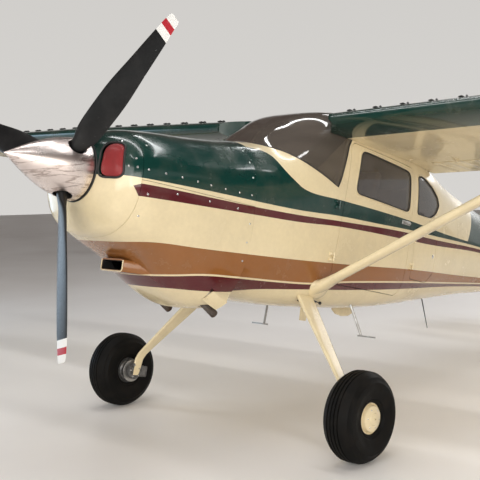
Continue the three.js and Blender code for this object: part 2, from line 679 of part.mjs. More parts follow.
function wingSurface({ inner, outer, hinge }, grow) {
  const [a, b] = [hingeAt(inner, hinge), hingeAt(outer, hinge)];
  const along = b.centre.clone().sub(a.centre).normalize();
  const from = a.centre.clone().addScaledVector(along, -grow);
  const to = b.centre.clone().addScaledVector(along, grow);
  const nose = rod(from, to, a.half + grow - (grow ? 0 : 1), b.half + grow - (grow ? 0 : 1), 16);
  const behind = planSlab([[from.x, from.y], [to.x, to.y], [to.x, 2500], [from.x, 2500]], 300, 1300);
  return join(nose, behind);
}

// A hinge: an eye on an arm for the fixed side, with the slot and the pin for the moving side.
const HINGE = { eye: 12, ring: 13, arm: 5.5, pin: 4, play: 0.6, slot: 26 };

function hingeAround(centre, axis, forward, slotRadius, armLength) {
  const along = (d) => centre.clone().addScaledVector(axis, d);
  const bar = (length, radius, sides) => rod(along(-length / 2), along(length / 2), radius, radius, sides);
  const arm = rod(centre, centre.clone().addScaledVector(forward, armLength), HINGE.arm, HINGE.arm, 6);
  return {
    bracket: cut(join(bar(HINGE.eye, HINGE.ring, 10), arm), bar(2 * HINGE.eye, HINGE.pin + HINGE.play, 8)),
    slot: bar(HINGE.slot, slotRadius, 12),
    pin: bar(HINGE.slot + 8, HINGE.pin, 8),
  };
}

function withBrackets(fixed, hinges) {
  return join(fixed, ...hinges.map((hinge) => hinge.bracket));
}

function withPins(moving, hinges) {
  return join(cut(moving, ...hinges.map((hinge) => hinge.slot)), ...hinges.map((hinge) => hinge.pin));
}

function surfaceHinges({ inner, outer, hinge, stations }) {
  const [a, b] = [hingeAt(inner, hinge), hingeAt(outer, hinge)];
  const axis = b.centre.clone().sub(a.centre).normalize();
  return stations.map((x) => {
    const t = (x - inner) / (outer - inner);
    const half = a.half + t * (b.half - a.half);
    return hingeAround(a.centre.clone().lerp(b.centre, t), axis, point(0, -1, 0), half + 2, half + RUNNING_GAP + 12);
  });
}

const wingFree = cut(wingWhole, bodySolid(0, CABIN_END, CABIN_STEPS, -2 * SEAT_GAP));
const wingFixed = cut(wingFree, ...WING_SURFACES.map((row) => wingSurface(row, RUNNING_GAP)));
addPair("wing", withBrackets(wingFixed, WING_SURFACES.flatMap(surfaceHinges)), "green");
WING_SURFACES.forEach((row) => {
  addPair(row.name, withPins(wingWhole.intersect(wingSurface(row, 0)), surfaceHinges(row)), "cream");
});

// Lift struts, streamlined, with a rounded cuff at each end.
const STRUT = { chord: 128, thickness: 0.42, low: point(455, 705, -517), wingPlace: 0.235 };

function strut(scaled = 1) {
  const wingRowAt = wingRow(STRUT_STATION);
  const high = wingPlace(STRUT_STATION, wingRowAt[1] + STRUT.wingPlace * ROOT_CHORD, -0.036 * ROOT_CHORD);
  const stations = [
    [0, 1.3], [0.05, 1.36], [0.08, 1.12], [0.11, 1], [0.93, 1], [0.96, 1.15], [1, 1.05],
  ];
  const axis = high.clone().sub(STRUT.low);
  const across = point(0, 1, 0).addScaledVector(axis, -axis.y / axis.lengthSq()).normalize();
  const thick = axis.clone().normalize().cross(across);
  const rings = stations.map(([, scale]) => section(STRUT.chord * scale * scaled, STRUT.thickness, 0, 0, 6)
    .map((p) => p.sub(new THREE.Vector2(STRUT.chord * scale * scaled * 0.4, 0))));
  return loft(rings, (p, r) => STRUT.low.clone().addScaledVector(axis, stations[r][0])
    .addScaledVector(across, p.x).addScaledVector(thick, p.y));
}
const wingLowered = solid(surface(wingWhole).translate(0, 0, -SEAT_GAP));
const strutBody = cut(strut(), bodySolid(0, CABIN_END, CABIN_STEPS, -SEAT_GAP), wingLowered);
addPair("strut", strutBody, "cream");

// Tail: fin with its dorsal curve, rudder with a horn, stabilizer and elevator with a torque tube.
// Fin sections: height, leading edge y, trailing edge y, thickness in millimetres.
const FIN_SECTIONS = [
  [40, 4100, 6300, 62], [300, 4100, 6308, 74], [372, 4420, 6306, 76], [450, 4720, 6302, 78], [560, 4905, 6292, 78],
  [900, 5085, 6252, 70], [1240, 5262, 6200, 58], [1340, 5330, 6178, 46], [1380, 5420, 6120, 22],
];
const RUDDER = { lowY: 5838, highY: 5900, low: 70, high: 1262, horn: 5560, stations: [0.36, 0.85] };

// Tail plane sections: x, leading edge y, trailing edge y, thickness in millimetres.
const PLANE_SECTIONS = [
  [0, 4850, 5982, 96], [1400, 5062, 5962, 80], [1560, 5110, 5948, 64], [1640, 5180, 5910, 40], [1672, 5280, 5840, 18],
];

const finWhole = loft(
  FIN_SECTIONS.map(([, front, back, thick]) => section(back - front, thick / (back - front), 0, 0)),
  (p, r) => point(p.y, FIN_SECTIONS[r][1] + p.x, FIN_SECTIONS[r][0]),
);
const planeLeft = loft(
  PLANE_SECTIONS.map(([, front, back, thick]) => section(back - front, thick / (back - front), 0, 0)),
  (p, r) => point(PLANE_SECTIONS[r][0], PLANE_SECTIONS[r][1] + p.x, STABILIZER.level + p.y),
);
const planeWhole = join(planeLeft, flipX(planeLeft));

function rudderZone(grow) {
  const nose = rod(point(0, RUDDER.lowY, RUDDER.low - grow), point(0, RUDDER.highY, RUDDER.high + 30), 27 + grow, 21 + grow, 14);
  const slope = (RUDDER.highY - RUDDER.lowY) / (RUDDER.high - RUDDER.low);
  const behind = sideSlab([
    [RUDDER.lowY - grow * slope, RUDDER.low - grow], [6500, RUDDER.low - grow], [6500, 1500], [RUDDER.horn - grow, 1500],
    [RUDDER.horn - grow, RUDDER.high - grow], [RUDDER.highY, RUDDER.high - grow],
  ], -200, 200);
  return join(nose, behind);
}

function elevatorZone(grow) {
  const [noseRoot, noseTip] = [34, 27];
  const nose = rod(point(0, STABILIZER.hinge, STABILIZER.level), point(1700, STABILIZER.hinge, STABILIZER.level), noseRoot + grow, noseTip + grow, 14);
  const behind = planSlab([
    [0, STABILIZER.hinge], [1700, STABILIZER.hinge], [1700, 6200], [0, 6200],
  ], 100, 500);
  const horn = planSlab([[1500 - grow, 4900], [1800, 4900], [1800, 6200], [1500 - grow, 6200]], 100, 500);
  return join(nose, behind, horn);
}

const tailSeat = bodySolid(CABIN_END, TAIL_END, TAIL_STEPS, -SEAT_GAP);
const finFoot = block(-100, 100, STABILIZER.front - 12, 6500, 0, STABILIZER.level + STABILIZER.half + SEAT_GAP);
const rudderLow = point(0, RUDDER.lowY, RUDDER.low);
const rudderHigh = point(0, RUDDER.highY, RUDDER.high);
const rudderHinges = RUDDER.stations.map((t) => hingeAround(
  rudderLow.clone().lerp(rudderHigh, t), rudderHigh.clone().sub(rudderLow).normalize(), point(0, -1, 0), 29, 44,
));
const finFixed = cut(finWhole, rudderZone(RUNNING_GAP), tailSeat, finFoot, block(-90, 90, 3000, 6500, 0, 240));
add("fin", withBrackets(finFixed, rudderHinges), "green");
add("rudder", withPins(finWhole.intersect(rudderZone(0)), rudderHinges), "cream");

const elevatorGap = elevatorZone(RUNNING_GAP);
const elevatorHinges = [-1300, -420, 420, 1300].map((x) => hingeAround(
  point(x, STABILIZER.hinge, STABILIZER.level), point(1, 0, 0), point(0, -1, 0), 36, 54,
));
add("stabilizer", withBrackets(cut(planeWhole, elevatorGap, flipX(elevatorGap)), elevatorHinges), "cream");

function elevator() {
  const half = planeLeft.intersect(elevatorZone(0));
  const rudderRoom = planSlab([[-10, 5480], [165, 5480], [165, 5600], [235, 6100], [-10, 6100]], 100, 500);
  const left = cut(half, rudderRoom);
  const tube = rod(point(-180, STABILIZER.hinge, STABILIZER.level), point(180, STABILIZER.hinge, STABILIZER.level), 22);
  return withPins(join(left, flipX(left), tube), elevatorHinges);
}
add("elevator", elevator(), "cream");

// Main gear: a flat tapered spring leg with its axle and brake, a wheel and a tyre on each side.
function gearLeg() {
  // Leg sections: x, y of the middle, z, width along the aircraft, thickness.
  const rows = [
    [400, 660, -475, 160, 27], [536, 627, -620, 148, 26], [704, 587, -800, 122, 25], [844, 553, -950, 100, 23],
    [948, 529, -1062, 84, 22], [996, 516, -1118, 78, 21], [1010, 503, -1160, 74, 20], [1012, 478, -1300, 70, 20],
  ];
  const path = rows.map(([x, y, z]) => point(x, y, z));
  const rings = rows.map(([, , , width, thick]) => [
    new THREE.Vector2(-width / 2, -thick / 2), new THREE.Vector2(width / 2, -thick / 2),
    new THREE.Vector2(width / 2, thick / 2), new THREE.Vector2(-width / 2, thick / 2),
  ]);
  const leaf = loft(rings, (p, r) => {
    const ahead = path[Math.min(r + 1, path.length - 1)].clone().sub(path[Math.max(r - 1, 0)]).normalize();
    const up = ahead.clone().cross(point(0, 1, 0));
    return path[r].clone().add(point(0, p.x, 0)).addScaledVector(up, p.y);
  });
  const plate = rod(point(1002, AXLE.y, AXLE.z), point(1026, AXLE.y, AXLE.z), 62, 62, 16);
  const axle = rod(point(1015, AXLE.y, AXLE.z), point(AXLE.x + 96, AXLE.y, AXLE.z), 18, 18, 16);
  const [near, far] = [AXLE.y + 58, AXLE.y + 132];
  const pads = [[1012, 1030], [1050, 1068]].map(([x0, x1]) => block(x0, x1, near, far, AXLE.z - 42, AXLE.z + 42));
  const bridge = block(1014, 1066, AXLE.y + 94, far - 4, AXLE.z - 38, AXLE.z + 38);
  const bracket = block(1010, 1026, AXLE.y - 10, AXLE.y + 80, AXLE.z - 30, AXLE.z + 30);
  return join(leaf, plate, axle, bracket, bridge, ...pads);
}

const legBody = cut(gearLeg(), bodySolid(0, CABIN_END, CABIN_STEPS, -SEAT_GAP), strut(1.06));

// The radius is that of the flats, so that the tyre stands as high as a round one.
function tyre(centre, flatRadius, width, rim, sides) {
  const half = width / 2;
  const radius = flatRadius / Math.cos(Math.PI / sides);
  const profile = [
    [rim, -half * 0.7], [(rim + radius) / 2, -half], [radius - half * 0.5, -half * 0.93],
    [radius - half * 0.16, -half * 0.62], [radius, -half * 0.22], [radius, half * 0.22],
    [radius - half * 0.16, half * 0.62], [radius - half * 0.5, half * 0.93], [(rim + radius) / 2, half],
    [rim, half * 0.7], [rim, -half * 0.7],
  ];
  return turned(profile, centre, "x", sides);
}

function wheel(centre, rim, width, bore, sides) {
  const half = width / 2;
  const profile = [
    [bore, -half * 0.7], [rim * 0.65, -half * 0.7], [rim * 0.76, -half * 0.62], [rim - SEAT_GAP, -half * 0.62],
    [rim - SEAT_GAP, half * 0.62], [rim * 0.86, half * 0.66], [rim * 0.8, half * 0.9], [rim * 0.4, half * 1.02],
    [bore, half * 1.06], [bore, -half * 0.7],
  ];
  return turned(profile, centre, "x", sides);
}

addPair("gear_leg", legBody, "cream");
const axleCentre = point(AXLE.x, AXLE.y, AXLE.z);
addPair("tyre", tyre(axleCentre, TYRE_RADIUS, TYRE_WIDTH, RIM_RADIUS, WHEEL_SIDES), "rubber");

function mainWheel() {
  const disc = turned([[BORE, -126], [84, -126], [84, -120], [46, -118], [46, -70], [BORE, -70], [BORE, -126]], axleCentre, "x", WHEEL_SIDES);
  return join(wheel(axleCentre, RIM_RADIUS, TYRE_WIDTH, BORE, WHEEL_SIDES), disc);
}
addPair("wheel", mainWheel(), "cream");

// Tailwheel: leaf spring, steering fork, hub and tyre.
function tailSpring() {
  const rows = [[5050, 10, 60, 34], [5200, -32, 58, 30], [5380, -110, 54, 24], [5500, -172, 50, 22], [5560, -205, 50, 22]];
  const rings = rows.map(([, , width, thick]) => [
    new THREE.Vector2(-width / 2, -thick / 2), new THREE.Vector2(width / 2, -thick / 2),
    new THREE.Vector2(width / 2, thick / 2), new THREE.Vector2(-width / 2, thick / 2),
  ]);
  const leaf = loft(rings, (p, r) => point(p.x, rows[r][0], rows[r][1] + p.y));
  const head = rod(point(0, 5546.7, -222), point(0, 5553, -168), 34);
  return cut(join(leaf, head), bodySolid(CABIN_END, TAIL_END, TAIL_STEPS, -SEAT_GAP));
}
add("tailwheel_spring", tailSpring(), "steel");

function tailFork() {
  const crown = planSlab([[-62, 5505], [62, 5505], [62, 5645], [-62, 5645]], -262, -240, 30);
  const boss = rod(point(0, 5542, -262), point(0, 5546.6, -222.6), 32);
  const arm = sideSlab([
    [5530, -246], [5640, -246], [TAIL_AXLE.y + 26, TAIL_AXLE.z - 24], [TAIL_AXLE.y - 26, TAIL_AXLE.z - 24],
  ], 50, 60, 10);
  const pin = rod(point(-60, TAIL_AXLE.y, TAIL_AXLE.z), point(60, TAIL_AXLE.y, TAIL_AXLE.z), 9, 9, TAIL_WHEEL_SIDES);
  return join(crown, boss, arm, flipX(arm), pin);
}
add("tailwheel_fork", tailFork(), "steel");
const tailCentre = point(0, TAIL_AXLE.y, TAIL_AXLE.z);
add("tailwheel_hub", wheel(tailCentre, 60, 62, 9.6, TAIL_WHEEL_SIDES), "steel");
add("tailwheel_tyre", tyre(tailCentre, TAIL_TYRE_RADIUS, 78, 60, TAIL_WHEEL_SIDES), "rubber");

// Entry steps, and what hangs under the belly: a whip aerial, a flat fin and a small plate.
function entryStep() {
  const post = rod(point(395, 1243, -510), point(487, 1327, -770), 9, 9, 10);
  const pad = block(476, 592, 1292, 1362, -776, -765);
  return cut(join(post, pad), bodySolid(0, CABIN_END, CABIN_STEPS, -SEAT_GAP));
}
addPair("entry_step", entryStep(), "steel");
add("belly_aerial", cut(rod(point(0, 2830, -320), point(0, 3003, -628), 6, 3, 8), tailSeat), "black");

const bellySeat = bodySolid(0, CABIN_END, CABIN_STEPS, -SEAT_GAP);
const finSide = [[1570, -500], [1570, -590], [1620, -622], [1700, -632], [1780, -622], [1830, -596], [1830, -500]];
add("belly_fin", cut(sideSlab(finSide, -7, 7), bellySeat), "cream");
add("belly_plate", cut(sideSlab([[828, -560], [828, -712], [892, -712], [912, -560]], 290, 300), bellySeat), "cream");

const airframe = new THREE.Group();
airframe.add(...parts.values());
airframe.rotation.x = -NOSE_UP;

// The origin is on the floor, in the middle of the whole aircraft's box.
const aircraft = new THREE.Group();
aircraft.add(airframe);
aircraft.updateMatrixWorld(true);
const reach = new THREE.Box3().setFromObject(aircraft, true);
airframe.position.set(0, -(reach.min.y + reach.max.y) / 2, -reach.min.z);

export default aircraft;
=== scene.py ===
"""Looks of a high-wing light aircraft with a tailwheel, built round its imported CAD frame."""
import math

import bmesh
import bpy
from mathutils import Matrix, Vector


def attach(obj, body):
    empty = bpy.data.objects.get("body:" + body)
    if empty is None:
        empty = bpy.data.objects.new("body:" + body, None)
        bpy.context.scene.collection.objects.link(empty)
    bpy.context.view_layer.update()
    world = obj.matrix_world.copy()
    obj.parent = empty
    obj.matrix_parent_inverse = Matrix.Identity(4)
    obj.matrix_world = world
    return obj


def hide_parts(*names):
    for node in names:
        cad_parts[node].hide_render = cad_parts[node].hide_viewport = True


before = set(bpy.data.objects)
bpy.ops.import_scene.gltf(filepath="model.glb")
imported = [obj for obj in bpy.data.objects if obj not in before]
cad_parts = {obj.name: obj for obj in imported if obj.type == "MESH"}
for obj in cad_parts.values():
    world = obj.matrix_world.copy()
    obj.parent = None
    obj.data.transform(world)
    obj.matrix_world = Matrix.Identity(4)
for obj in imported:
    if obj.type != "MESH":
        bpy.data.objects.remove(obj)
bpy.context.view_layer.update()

scene = bpy.context.scene

# Shapes are drawn in the airframe's own millimetres: x to its left, y aft of the firewall and
# z up from the thrust line. PLACE stands them on the floor, nose up, in metres.
NOSE_UP = math.radians(11.15)
SHIFT_AFT, SHIFT_UP = -2.406895, 1.610
PLACE = Matrix.Translation((0, SHIFT_AFT, SHIFT_UP)) @ Matrix.Rotation(-NOSE_UP, 4, "X") @ Matrix.Scale(0.001, 4)

# ---------------------------------------------------------------- camera, light and floor
CAMERA = {"place": (4.4434, -6.6337, 1.6715), "yaw": 43.43, "pitch": -2.93, "roll": -0.61,
          "lens": 67.575, "sensor": 36, "shift": (-0.01821, -0.00394)}


def set_camera():
    yaw, pitch, roll = (math.radians(CAMERA[key]) for key in ("yaw", "pitch", "roll"))
    ahead = Vector((-math.cos(pitch) * math.sin(yaw), math.cos(pitch) * math.cos(yaw), math.sin(pitch)))
    level = ahead.cross(Vector((0, 0, 1))).normalized()
    upright = level.cross(ahead)
    right = math.cos(roll) * level + math.sin(roll) * upright
    up = math.cos(roll) * upright - math.sin(roll) * level
    camera = bpy.data.objects.new("camera", bpy.data.cameras.new("camera"))
    camera.data.lens, camera.data.sensor_width = CAMERA["lens"], CAMERA["sensor"]
    camera.data.shift_x, camera.data.shift_y = CAMERA["shift"]
    camera.data.clip_end = 400
    turn = Matrix((right, up, -ahead)).transposed().to_4x4()
    camera.matrix_world = Matrix.Translation(CAMERA["place"]) @ turn
    scene.collection.objects.link(camera)
    scene.camera = camera


def area_light(name, place, target, size, power, tint=(1, 1, 1)):
    lamp = bpy.data.lights.new(name, "AREA")
    lamp.shape, lamp.size, lamp.size_y, lamp.energy, lamp.color = "RECTANGLE", *size, power, tint
    holder = bpy.data.objects.new(name, lamp)
    holder.location = place
    holder.rotation_euler = (Vector(target) - Vector(place)).to_track_quat("-Z", "Y").to_euler()
    holder.visible_camera = False
    scene.collection.objects.link(holder)


def set_light():
    area_light("front_softbox", (6, -13, 5), (0, -1.5, 1.2), (14, 6), 900, (1, 0.98, 0.95))
    area_light("side_softbox", (13, -8, 3.4), (0, -0.5, 1.0), (9, 4), 530, (1, 0.95, 0.88))
    area_light("open_door", (-9, -5, 1.8), (0, -3.6, 1.1), (6, 3.2), 170, (0.6, 0.8, 1))
    for k, away in enumerate((-5.5, -2.2, 1.4, 5.0)):
        area_light(f"ceiling_tube_{k}", (0.5, away, 7.5), (0.5, away, 0), (9, 0.35), 125)
    area_light("rear_softbox", (0, 12, 6), (0, 2, 1.5), (12, 5), 520)
    world = bpy.data.worlds.new("room")
    scene.world = world
    world.use_nodes = True
    tree = world.node_tree
    sky = tree.nodes["Background"]
    ramp = tree.nodes.new("ShaderNodeValToRGB")
    split = tree.nodes.new("ShaderNodeSeparateXYZ")
    coords = tree.nodes.new("ShaderNodeTexCoord")
    tree.links.new(coords.outputs["Generated"], split.inputs[0])
    tree.links.new(split.outputs["Z"], ramp.inputs[0])
    tree.links.new(ramp.outputs[0], sky.inputs["Color"])
    for place, colour in zip(ramp.color_ramp.elements, ((0.84, 0.82, 0.79, 1), (0.26, 0.24, 0.23, 1))):
        place.color = colour
    for position, colour in ((0.27, (0.78, 0.76, 0.73, 1)), (0.33, (0.11, 0.075, 0.065, 1)),
                             (0.7, (0.09, 0.075, 0.07, 1))):
        ramp.color_ramp.elements.new(position).color = colour
    sky.inputs["Strength"].default_value = 0.8
    scene.view_settings.view_transform = "Standard"


# ---------------------------------------------------------------- finishes
class Finish:
    """A node material under construction, with the airframe's own coordinates at hand."""

    def __init__(self, name, **constants):
        self.material = bpy.data.materials.new(name)
        self.material.use_nodes = True
        self.tree = self.material.node_tree
        self.shader = self.tree.nodes["Principled BSDF"]
        self.coords = self.add("ShaderNodeTexCoord").outputs["Object"]
        self.split = None
        for key, value in constants.items():
            self.shader.inputs[key.replace("_", " ")].default_value = value

    def add(self, kind, inputs=(), **settings):
        made = self.tree.nodes.new(kind)
        for key, value in settings.items():
            setattr(made, key, value)
        for key, value in dict(inputs).items():
            if isinstance(value, bpy.types.NodeSocket):
                self.tree.links.new(value, made.inputs[key])
            else:
                made.inputs[key].default_value = value
        return made

    def air(self):
        """Sockets for x, s and h: metres to the left, aft of the firewall and above the thrust line."""
        if self.split is None:
            aft, up = -SHIFT_AFT, -SHIFT_UP
            back = (0, aft * math.cos(NOSE_UP) - up * math.sin(NOSE_UP),
                    aft * math.sin(NOSE_UP) + up * math.cos(NOSE_UP))
            turned = self.add("ShaderNodeMapping", {"Vector": self.coords, "Rotation": (NOSE_UP, 0, 0),
                                                    "Location": back})
            self.split = self.add("ShaderNodeSeparateXYZ", {0: turned.outputs[0]}).outputs
        return self.split

    def maths(self, operation, *values):
        return self.add("ShaderNodeMath", dict(enumerate(values)), operation=operation).outputs[0]

    def total(self, operation, values):
        result = values[0]
        for value in values[1:]:
            result = self.maths(operation, result, value)
        return result

    def noise(self, scale, detail=3.0, stretch=(1, 1, 1), roughness=0.55):
        place = self.add("ShaderNodeMapping", {"Vector": self.coords, "Scale": stretch})
        return self.add("ShaderNodeTexNoise", {
            "Vector": place.outputs[0], "Scale": scale, "Detail": detail, "Roughness": roughness,
        }).outputs["Fac"]

    def span(self, value, low, high, to_low=0.0, to_high=1.0):
        """value from low..high laid on to_low..to_high, and held inside it."""
        inputs = dict(zip(range(5), (value, low, high, to_low, to_high)))
        return self.add("ShaderNodeMapRange", inputs).outputs[0]

    def mix(self, factor, first, second, blend="MIX"):
        return self.add("ShaderNodeMix", {0: factor, 6: first, 7: second}, data_type="RGBA",
                        blend_type=blend).outputs[2]

    def curve(self, points, value, low=(-1.1, -0.8), high=(5.9, 0.6)):
        """A height that follows drawn points as value runs along the airframe."""
        share = self.span(value, low[0], high[0])
        bend = self.add("ShaderNodeFloatCurve", {"Value": share})
        line = bend.mapping.curves[0]
        spots = [((a - low[0]) / (high[0] - low[0]), (b - low[1]) / (high[1] - low[1])) for a, b in points]
        line.points[0].location, line.points[-1].location = spots[0], spots[-1]
        for spot in spots[1:-1]:
            line.points.new(*spot)
        for knot in line.points:
            knot.handle_type = "AUTO_CLAMPED"
        bend.mapping.update()
        return self.span(bend.outputs[0], 0, 1, low[1], high[1])

    def between(self, value, low, high):
        above = self.maths("GREATER_THAN", value, low)
        below = self.maths("LESS_THAN", value, high)
        return self.maths("MULTIPLY", above, below)

    def rivets(self, along, across, row, pitch, radius=0.0032):
        """Little domes in rows, as a height."""
        gaps = []
        for value, step in ((along, row), (across, pitch)):
            place = self.maths("FRACT", self.maths("DIVIDE", value, step))
            gaps.append(self.maths("MULTIPLY", self.maths("SUBTRACT", place, 0.5), step))
        reach = self.maths("SQRT", self.maths("ADD", *(self.maths("POWER", self.maths("ABSOLUTE", g), 2.0)
                                                       for g in gaps)))
        return self.span(reach, radius * 0.4, radius, 1.0, 0.0)

    def bump(self, height, strength, distance, below=None):
        inputs = {"Height": height, "Strength": strength, "Distance": distance}
        if below is not None:
            inputs["Normal"] = below
        return self.add("ShaderNodeBump", inputs).outputs[0]

    def done(self, colour=None, roughness=None, normal=None, **more):
        given = {"Base Color": colour, "Roughness": roughness, "Normal": normal, **more}
        for key, value in given.items():
            if isinstance(value, bpy.types.NodeSocket):
                self.tree.links.new(value, self.shader.inputs[key])
            elif value is not None:
                self.shader.inputs[key].default_value = value
        return self.material


CREAM = (0.79, 0.67, 0.43, 1)
GREEN = (0.003, 0.036, 0.029, 1)
MAROON = (0.09, 0.007, 0.011, 1)
TAN = (0.285, 0.108, 0.026, 1)
WHITE = (0.8, 0.79, 0.76, 1)


def painted(finish, colour, row=0.42, pitch=0.034, riveted=True, waves=0.0, dirt=0.12):
    """Aged gloss paint over sheet metal: faint mottling, soft dents, rows of rivets and road dirt."""
    x, s, h = finish.air()
    grime = finish.span(finish.noise(5.0, 6.0), 0.42, 0.72)
    fine = finish.noise(38.0, 4.0)
    worn = finish.mix(finish.maths("MULTIPLY", grime, dirt), colour, (0.23, 0.19, 0.14, 1))
    shade = finish.mix(finish.span(fine, 0.3, 0.75, 0.0, 0.25), worn, (0.78, 0.76, 0.74, 1), "MULTIPLY")
    gloss = finish.span(finish.maths("ADD", fine, grime), 0.3, 1.7, 0.14, 0.34)
    dents = finish.bump(finish.noise(3.2, 2.0), 0.16, 0.03)
    height = finish.span(finish.noise(420.0, 1.0), 0, 1, 0, 0.05)
    if riveted:
        girth = finish.maths("ADD", finish.maths("ABSOLUTE", x), h)
        heads = finish.total("MAXIMUM", [finish.rivets(s, girth, row, pitch),
                                         finish.rivets(girth, s, row * 0.9, pitch)])
        height = finish.maths("ADD", height, heads)
    if waves:
        phase = finish.maths("MULTIPLY", x if waves > 0 else h, abs(waves))
        beads = finish.maths("ABSOLUTE", finish.maths("SINE", phase))
        dents = finish.bump(finish.maths("POWER", beads, 6.0), 0.5, 0.008, dents)
    return finish.done(shade, gloss, finish.bump(height, 0.35, 0.0016, dents))


PAINT = {"Coat_Weight": 0.4, "Coat_Roughness": 0.05, "Specular_IOR_Level": 0.35}
GREEN_LOW = [(-1.1, -.028), (-.778, -.020), (-.37, -.006), (.405, .015), (.818, .045), (1.303, .067), (1.737, .090),
             (2.085, .105), (2.92, .15), (3.4, .165), (5.9, .2)]
GREEN_HIGH = [(-1.1, .6), (.02, .6), (.037, .378), (.128, .379), (.186, .366), (.226, .318), (.281, .253), (.36, .2),
              (.454, .161), (.586, .151), (.762, .156), (1.565, .161), (2.213, .158), (2.921, .172), (5.9, .2)]
MAROON_HIGH = [(-1.1, -.062), (-.773, -.053), (-.006, -.035), (.41, -.018), (.825, .010), (1.743, .065), (2.0, .072),
               (3.183, .138), (5.9, .19)]
MAROON_LOW = [(-1.1, -.138), (-.759, -.123), (.003, -.085), (.418, -.064), (.832, -.029), (1.75, .010), (2.06, .025),
              (3.19, .107), (5.9, .175)]
TAN_HIGH = [(-1.1, -.407), (-.869, -.397), (-.668, -.368), (-.388, -.360), (.063, -.338), (.467, -.315),
            (1.038, -.274), (1.815, -.210), (2.9, -.139), (5.9, .09)]
TAN_LOW = [(-1.1, -.63), (-.7, -.57), (-.58, -.562), (-.44, -.536), (-.266, -.506), (-.059, -.492), (.345, -.472),
           (.618, -.452), (1.06, -.389), (2.92, -.199), (5.9, .075)]
WINE_LOW = [(-1.1, -.66), (-.7, -.625), (-.519, -.631), (-.369, -.620), (-.234, -.613), (.063, -.581), (.196, -.552),
            (.465, -.517), (1.07, -.453), (2.93, -.234), (5.9, .05)]
# Where bands end along the airframe: the cowl's green, the tail's green, which leans aft with
# height, the roof's green, and the maroon stripe, whose front edge slants and has a cut corner.
COWL_GREEN_END = 0.03
TAIL_GREEN = {"height": 0.179, "lean": 0.62, "station": 2.935}
ROOF_GREEN = {"height": 0.742, "station": 0.6}
MAROON_START = {"slant": -0.7, "station": -0.985, "corner_height": 0.076, "corner_slant": 2.2,
                "corner_station": -0.934}
PIN_LINE = 0.012


def livery_paint():
    """The body's colours, each band between two heights that change along the airframe."""
    finish = Finish("livery_paint", **PAINT)
    x, s, h = finish.air()
    lines = {name: finish.curve(points, s) for name, points in {
        "green_low": GREEN_LOW, "green_high": GREEN_HIGH, "maroon_high": MAROON_HIGH, "maroon_low": MAROON_LOW,
        "tan_high": TAN_HIGH, "tan_low": TAN_LOW, "wine_low": WINE_LOW,
    }.items()}
    over_low = finish.maths("GREATER_THAN", h, lines["green_low"])
    side = finish.maths("MULTIPLY", over_low, finish.maths("LESS_THAN", h, lines["green_high"]))
    cowl = finish.maths("MULTIPLY", over_low, finish.maths("LESS_THAN", s, COWL_GREEN_END))
    raised = finish.maths("SUBTRACT", h, TAIL_GREEN["height"])
    lean = finish.maths("MULTIPLY_ADD", raised, TAIL_GREEN["lean"], TAIL_GREEN["station"])
    tail = finish.maths("MULTIPLY", over_low, finish.maths("GREATER_THAN", s, lean))
    roof = finish.maths("MULTIPLY", finish.maths("GREATER_THAN", h, ROOF_GREEN["height"]),
                        finish.maths("GREATER_THAN", s, ROOF_GREEN["station"]))
    green = finish.total("MAXIMUM", [side, cowl, tail, roof])
    slant = finish.maths("MULTIPLY_ADD", h, MAROON_START["slant"], MAROON_START["station"])
    above = finish.maths("MAXIMUM", finish.maths("ADD", h, MAROON_START["corner_height"]), 0.0)
    corner = finish.maths("MULTIPLY_ADD", above, MAROON_START["corner_slant"], MAROON_START["corner_station"])
    started = finish.maths("GREATER_THAN", s, finish.maths("MAXIMUM", slant, corner))
    maroon = finish.maths("MULTIPLY", started, finish.between(h, lines["maroon_low"], lines["maroon_high"]))
    colour = finish.mix(finish.between(h, lines["tan_low"], lines["tan_high"]), CREAM, TAN)
    pin = finish.maths("SUBTRACT", lines["tan_low"], PIN_LINE)
    colour = finish.mix(finish.between(h, lines["wine_low"], pin), colour, MAROON)
    colour = finish.mix(maroon, colour, MAROON)
    colour = finish.mix(green, colour, GREEN)
    return painted(finish, colour)


def plain_paint(name, colour, **details):
    return painted(Finish(name, **PAINT), colour, **details)


BLADE_TIP_FROM, BLADE_BAND = 1.02, (1.067, 1.106)


def blade_paint():
    """Satin black with a white tip, a red band in it, and pale chips all over."""
    finish = Finish("blade_paint", Specular_IOR_Level=0.35)
    x, s, h = finish.air()
    reach = finish.maths("SQRT", finish.maths("ADD", finish.maths("POWER", x, 2.0), finish.maths("POWER", h, 2.0)))
    tip = finish.maths("GREATER_THAN", reach, BLADE_TIP_FROM)
    band = finish.between(reach, *BLADE_BAND)
    speck = finish.noise(90.0, 4.0)
    black = finish.mix(finish.span(finish.noise(9.0, 5.0), 0.4, 0.8), (0.006, 0.0062, 0.0065, 1),
                       (0.017, 0.0165, 0.016, 1))
    colour = finish.mix(band, finish.mix(tip, black, WHITE), (0.42, 0.02, 0.03, 1))
    colour = finish.mix(finish.maths("GREATER_THAN", speck, 0.73), colour, (0.32, 0.32, 0.33, 1))
    return finish.done(colour, finish.span(speck, 0.3, 0.8, 0.3, 0.48), finish.bump(speck, 0.12, 0.0006))


def polished_metal():
    finish = Finish("polished_metal", Metallic=1.0)
    rings = finish.noise(60.0, 4.0, (1, 14, 1))
    haze = finish.noise(7.0, 5.0)
    colour = finish.mix(finish.span(haze, 0.35, 0.75), (0.9, 0.81, 0.77, 1), (0.74, 0.64, 0.6, 1))
    # Painted reflection: thin dark streaks across the polished metal stand for dark surroundings mirrored in it.
    smear_and_painted_reflection = finish.maths("ABSOLUTE", finish.maths("SUBTRACT", finish.noise(3.4, 5.0, (1, 0.7, 4.5)), 0.5))
    colour = finish.mix(finish.span(smear_and_painted_reflection, 0.0, 0.03, 0.6, 0.0), colour, (0.2, 0.12, 0.09, 1))
    rough = finish.span(finish.maths("ADD", rings, haze), 0.6, 1.4, 0.24, 0.34)
    return finish.done(colour, rough, finish.bump(rings, 0.04, 0.0004))


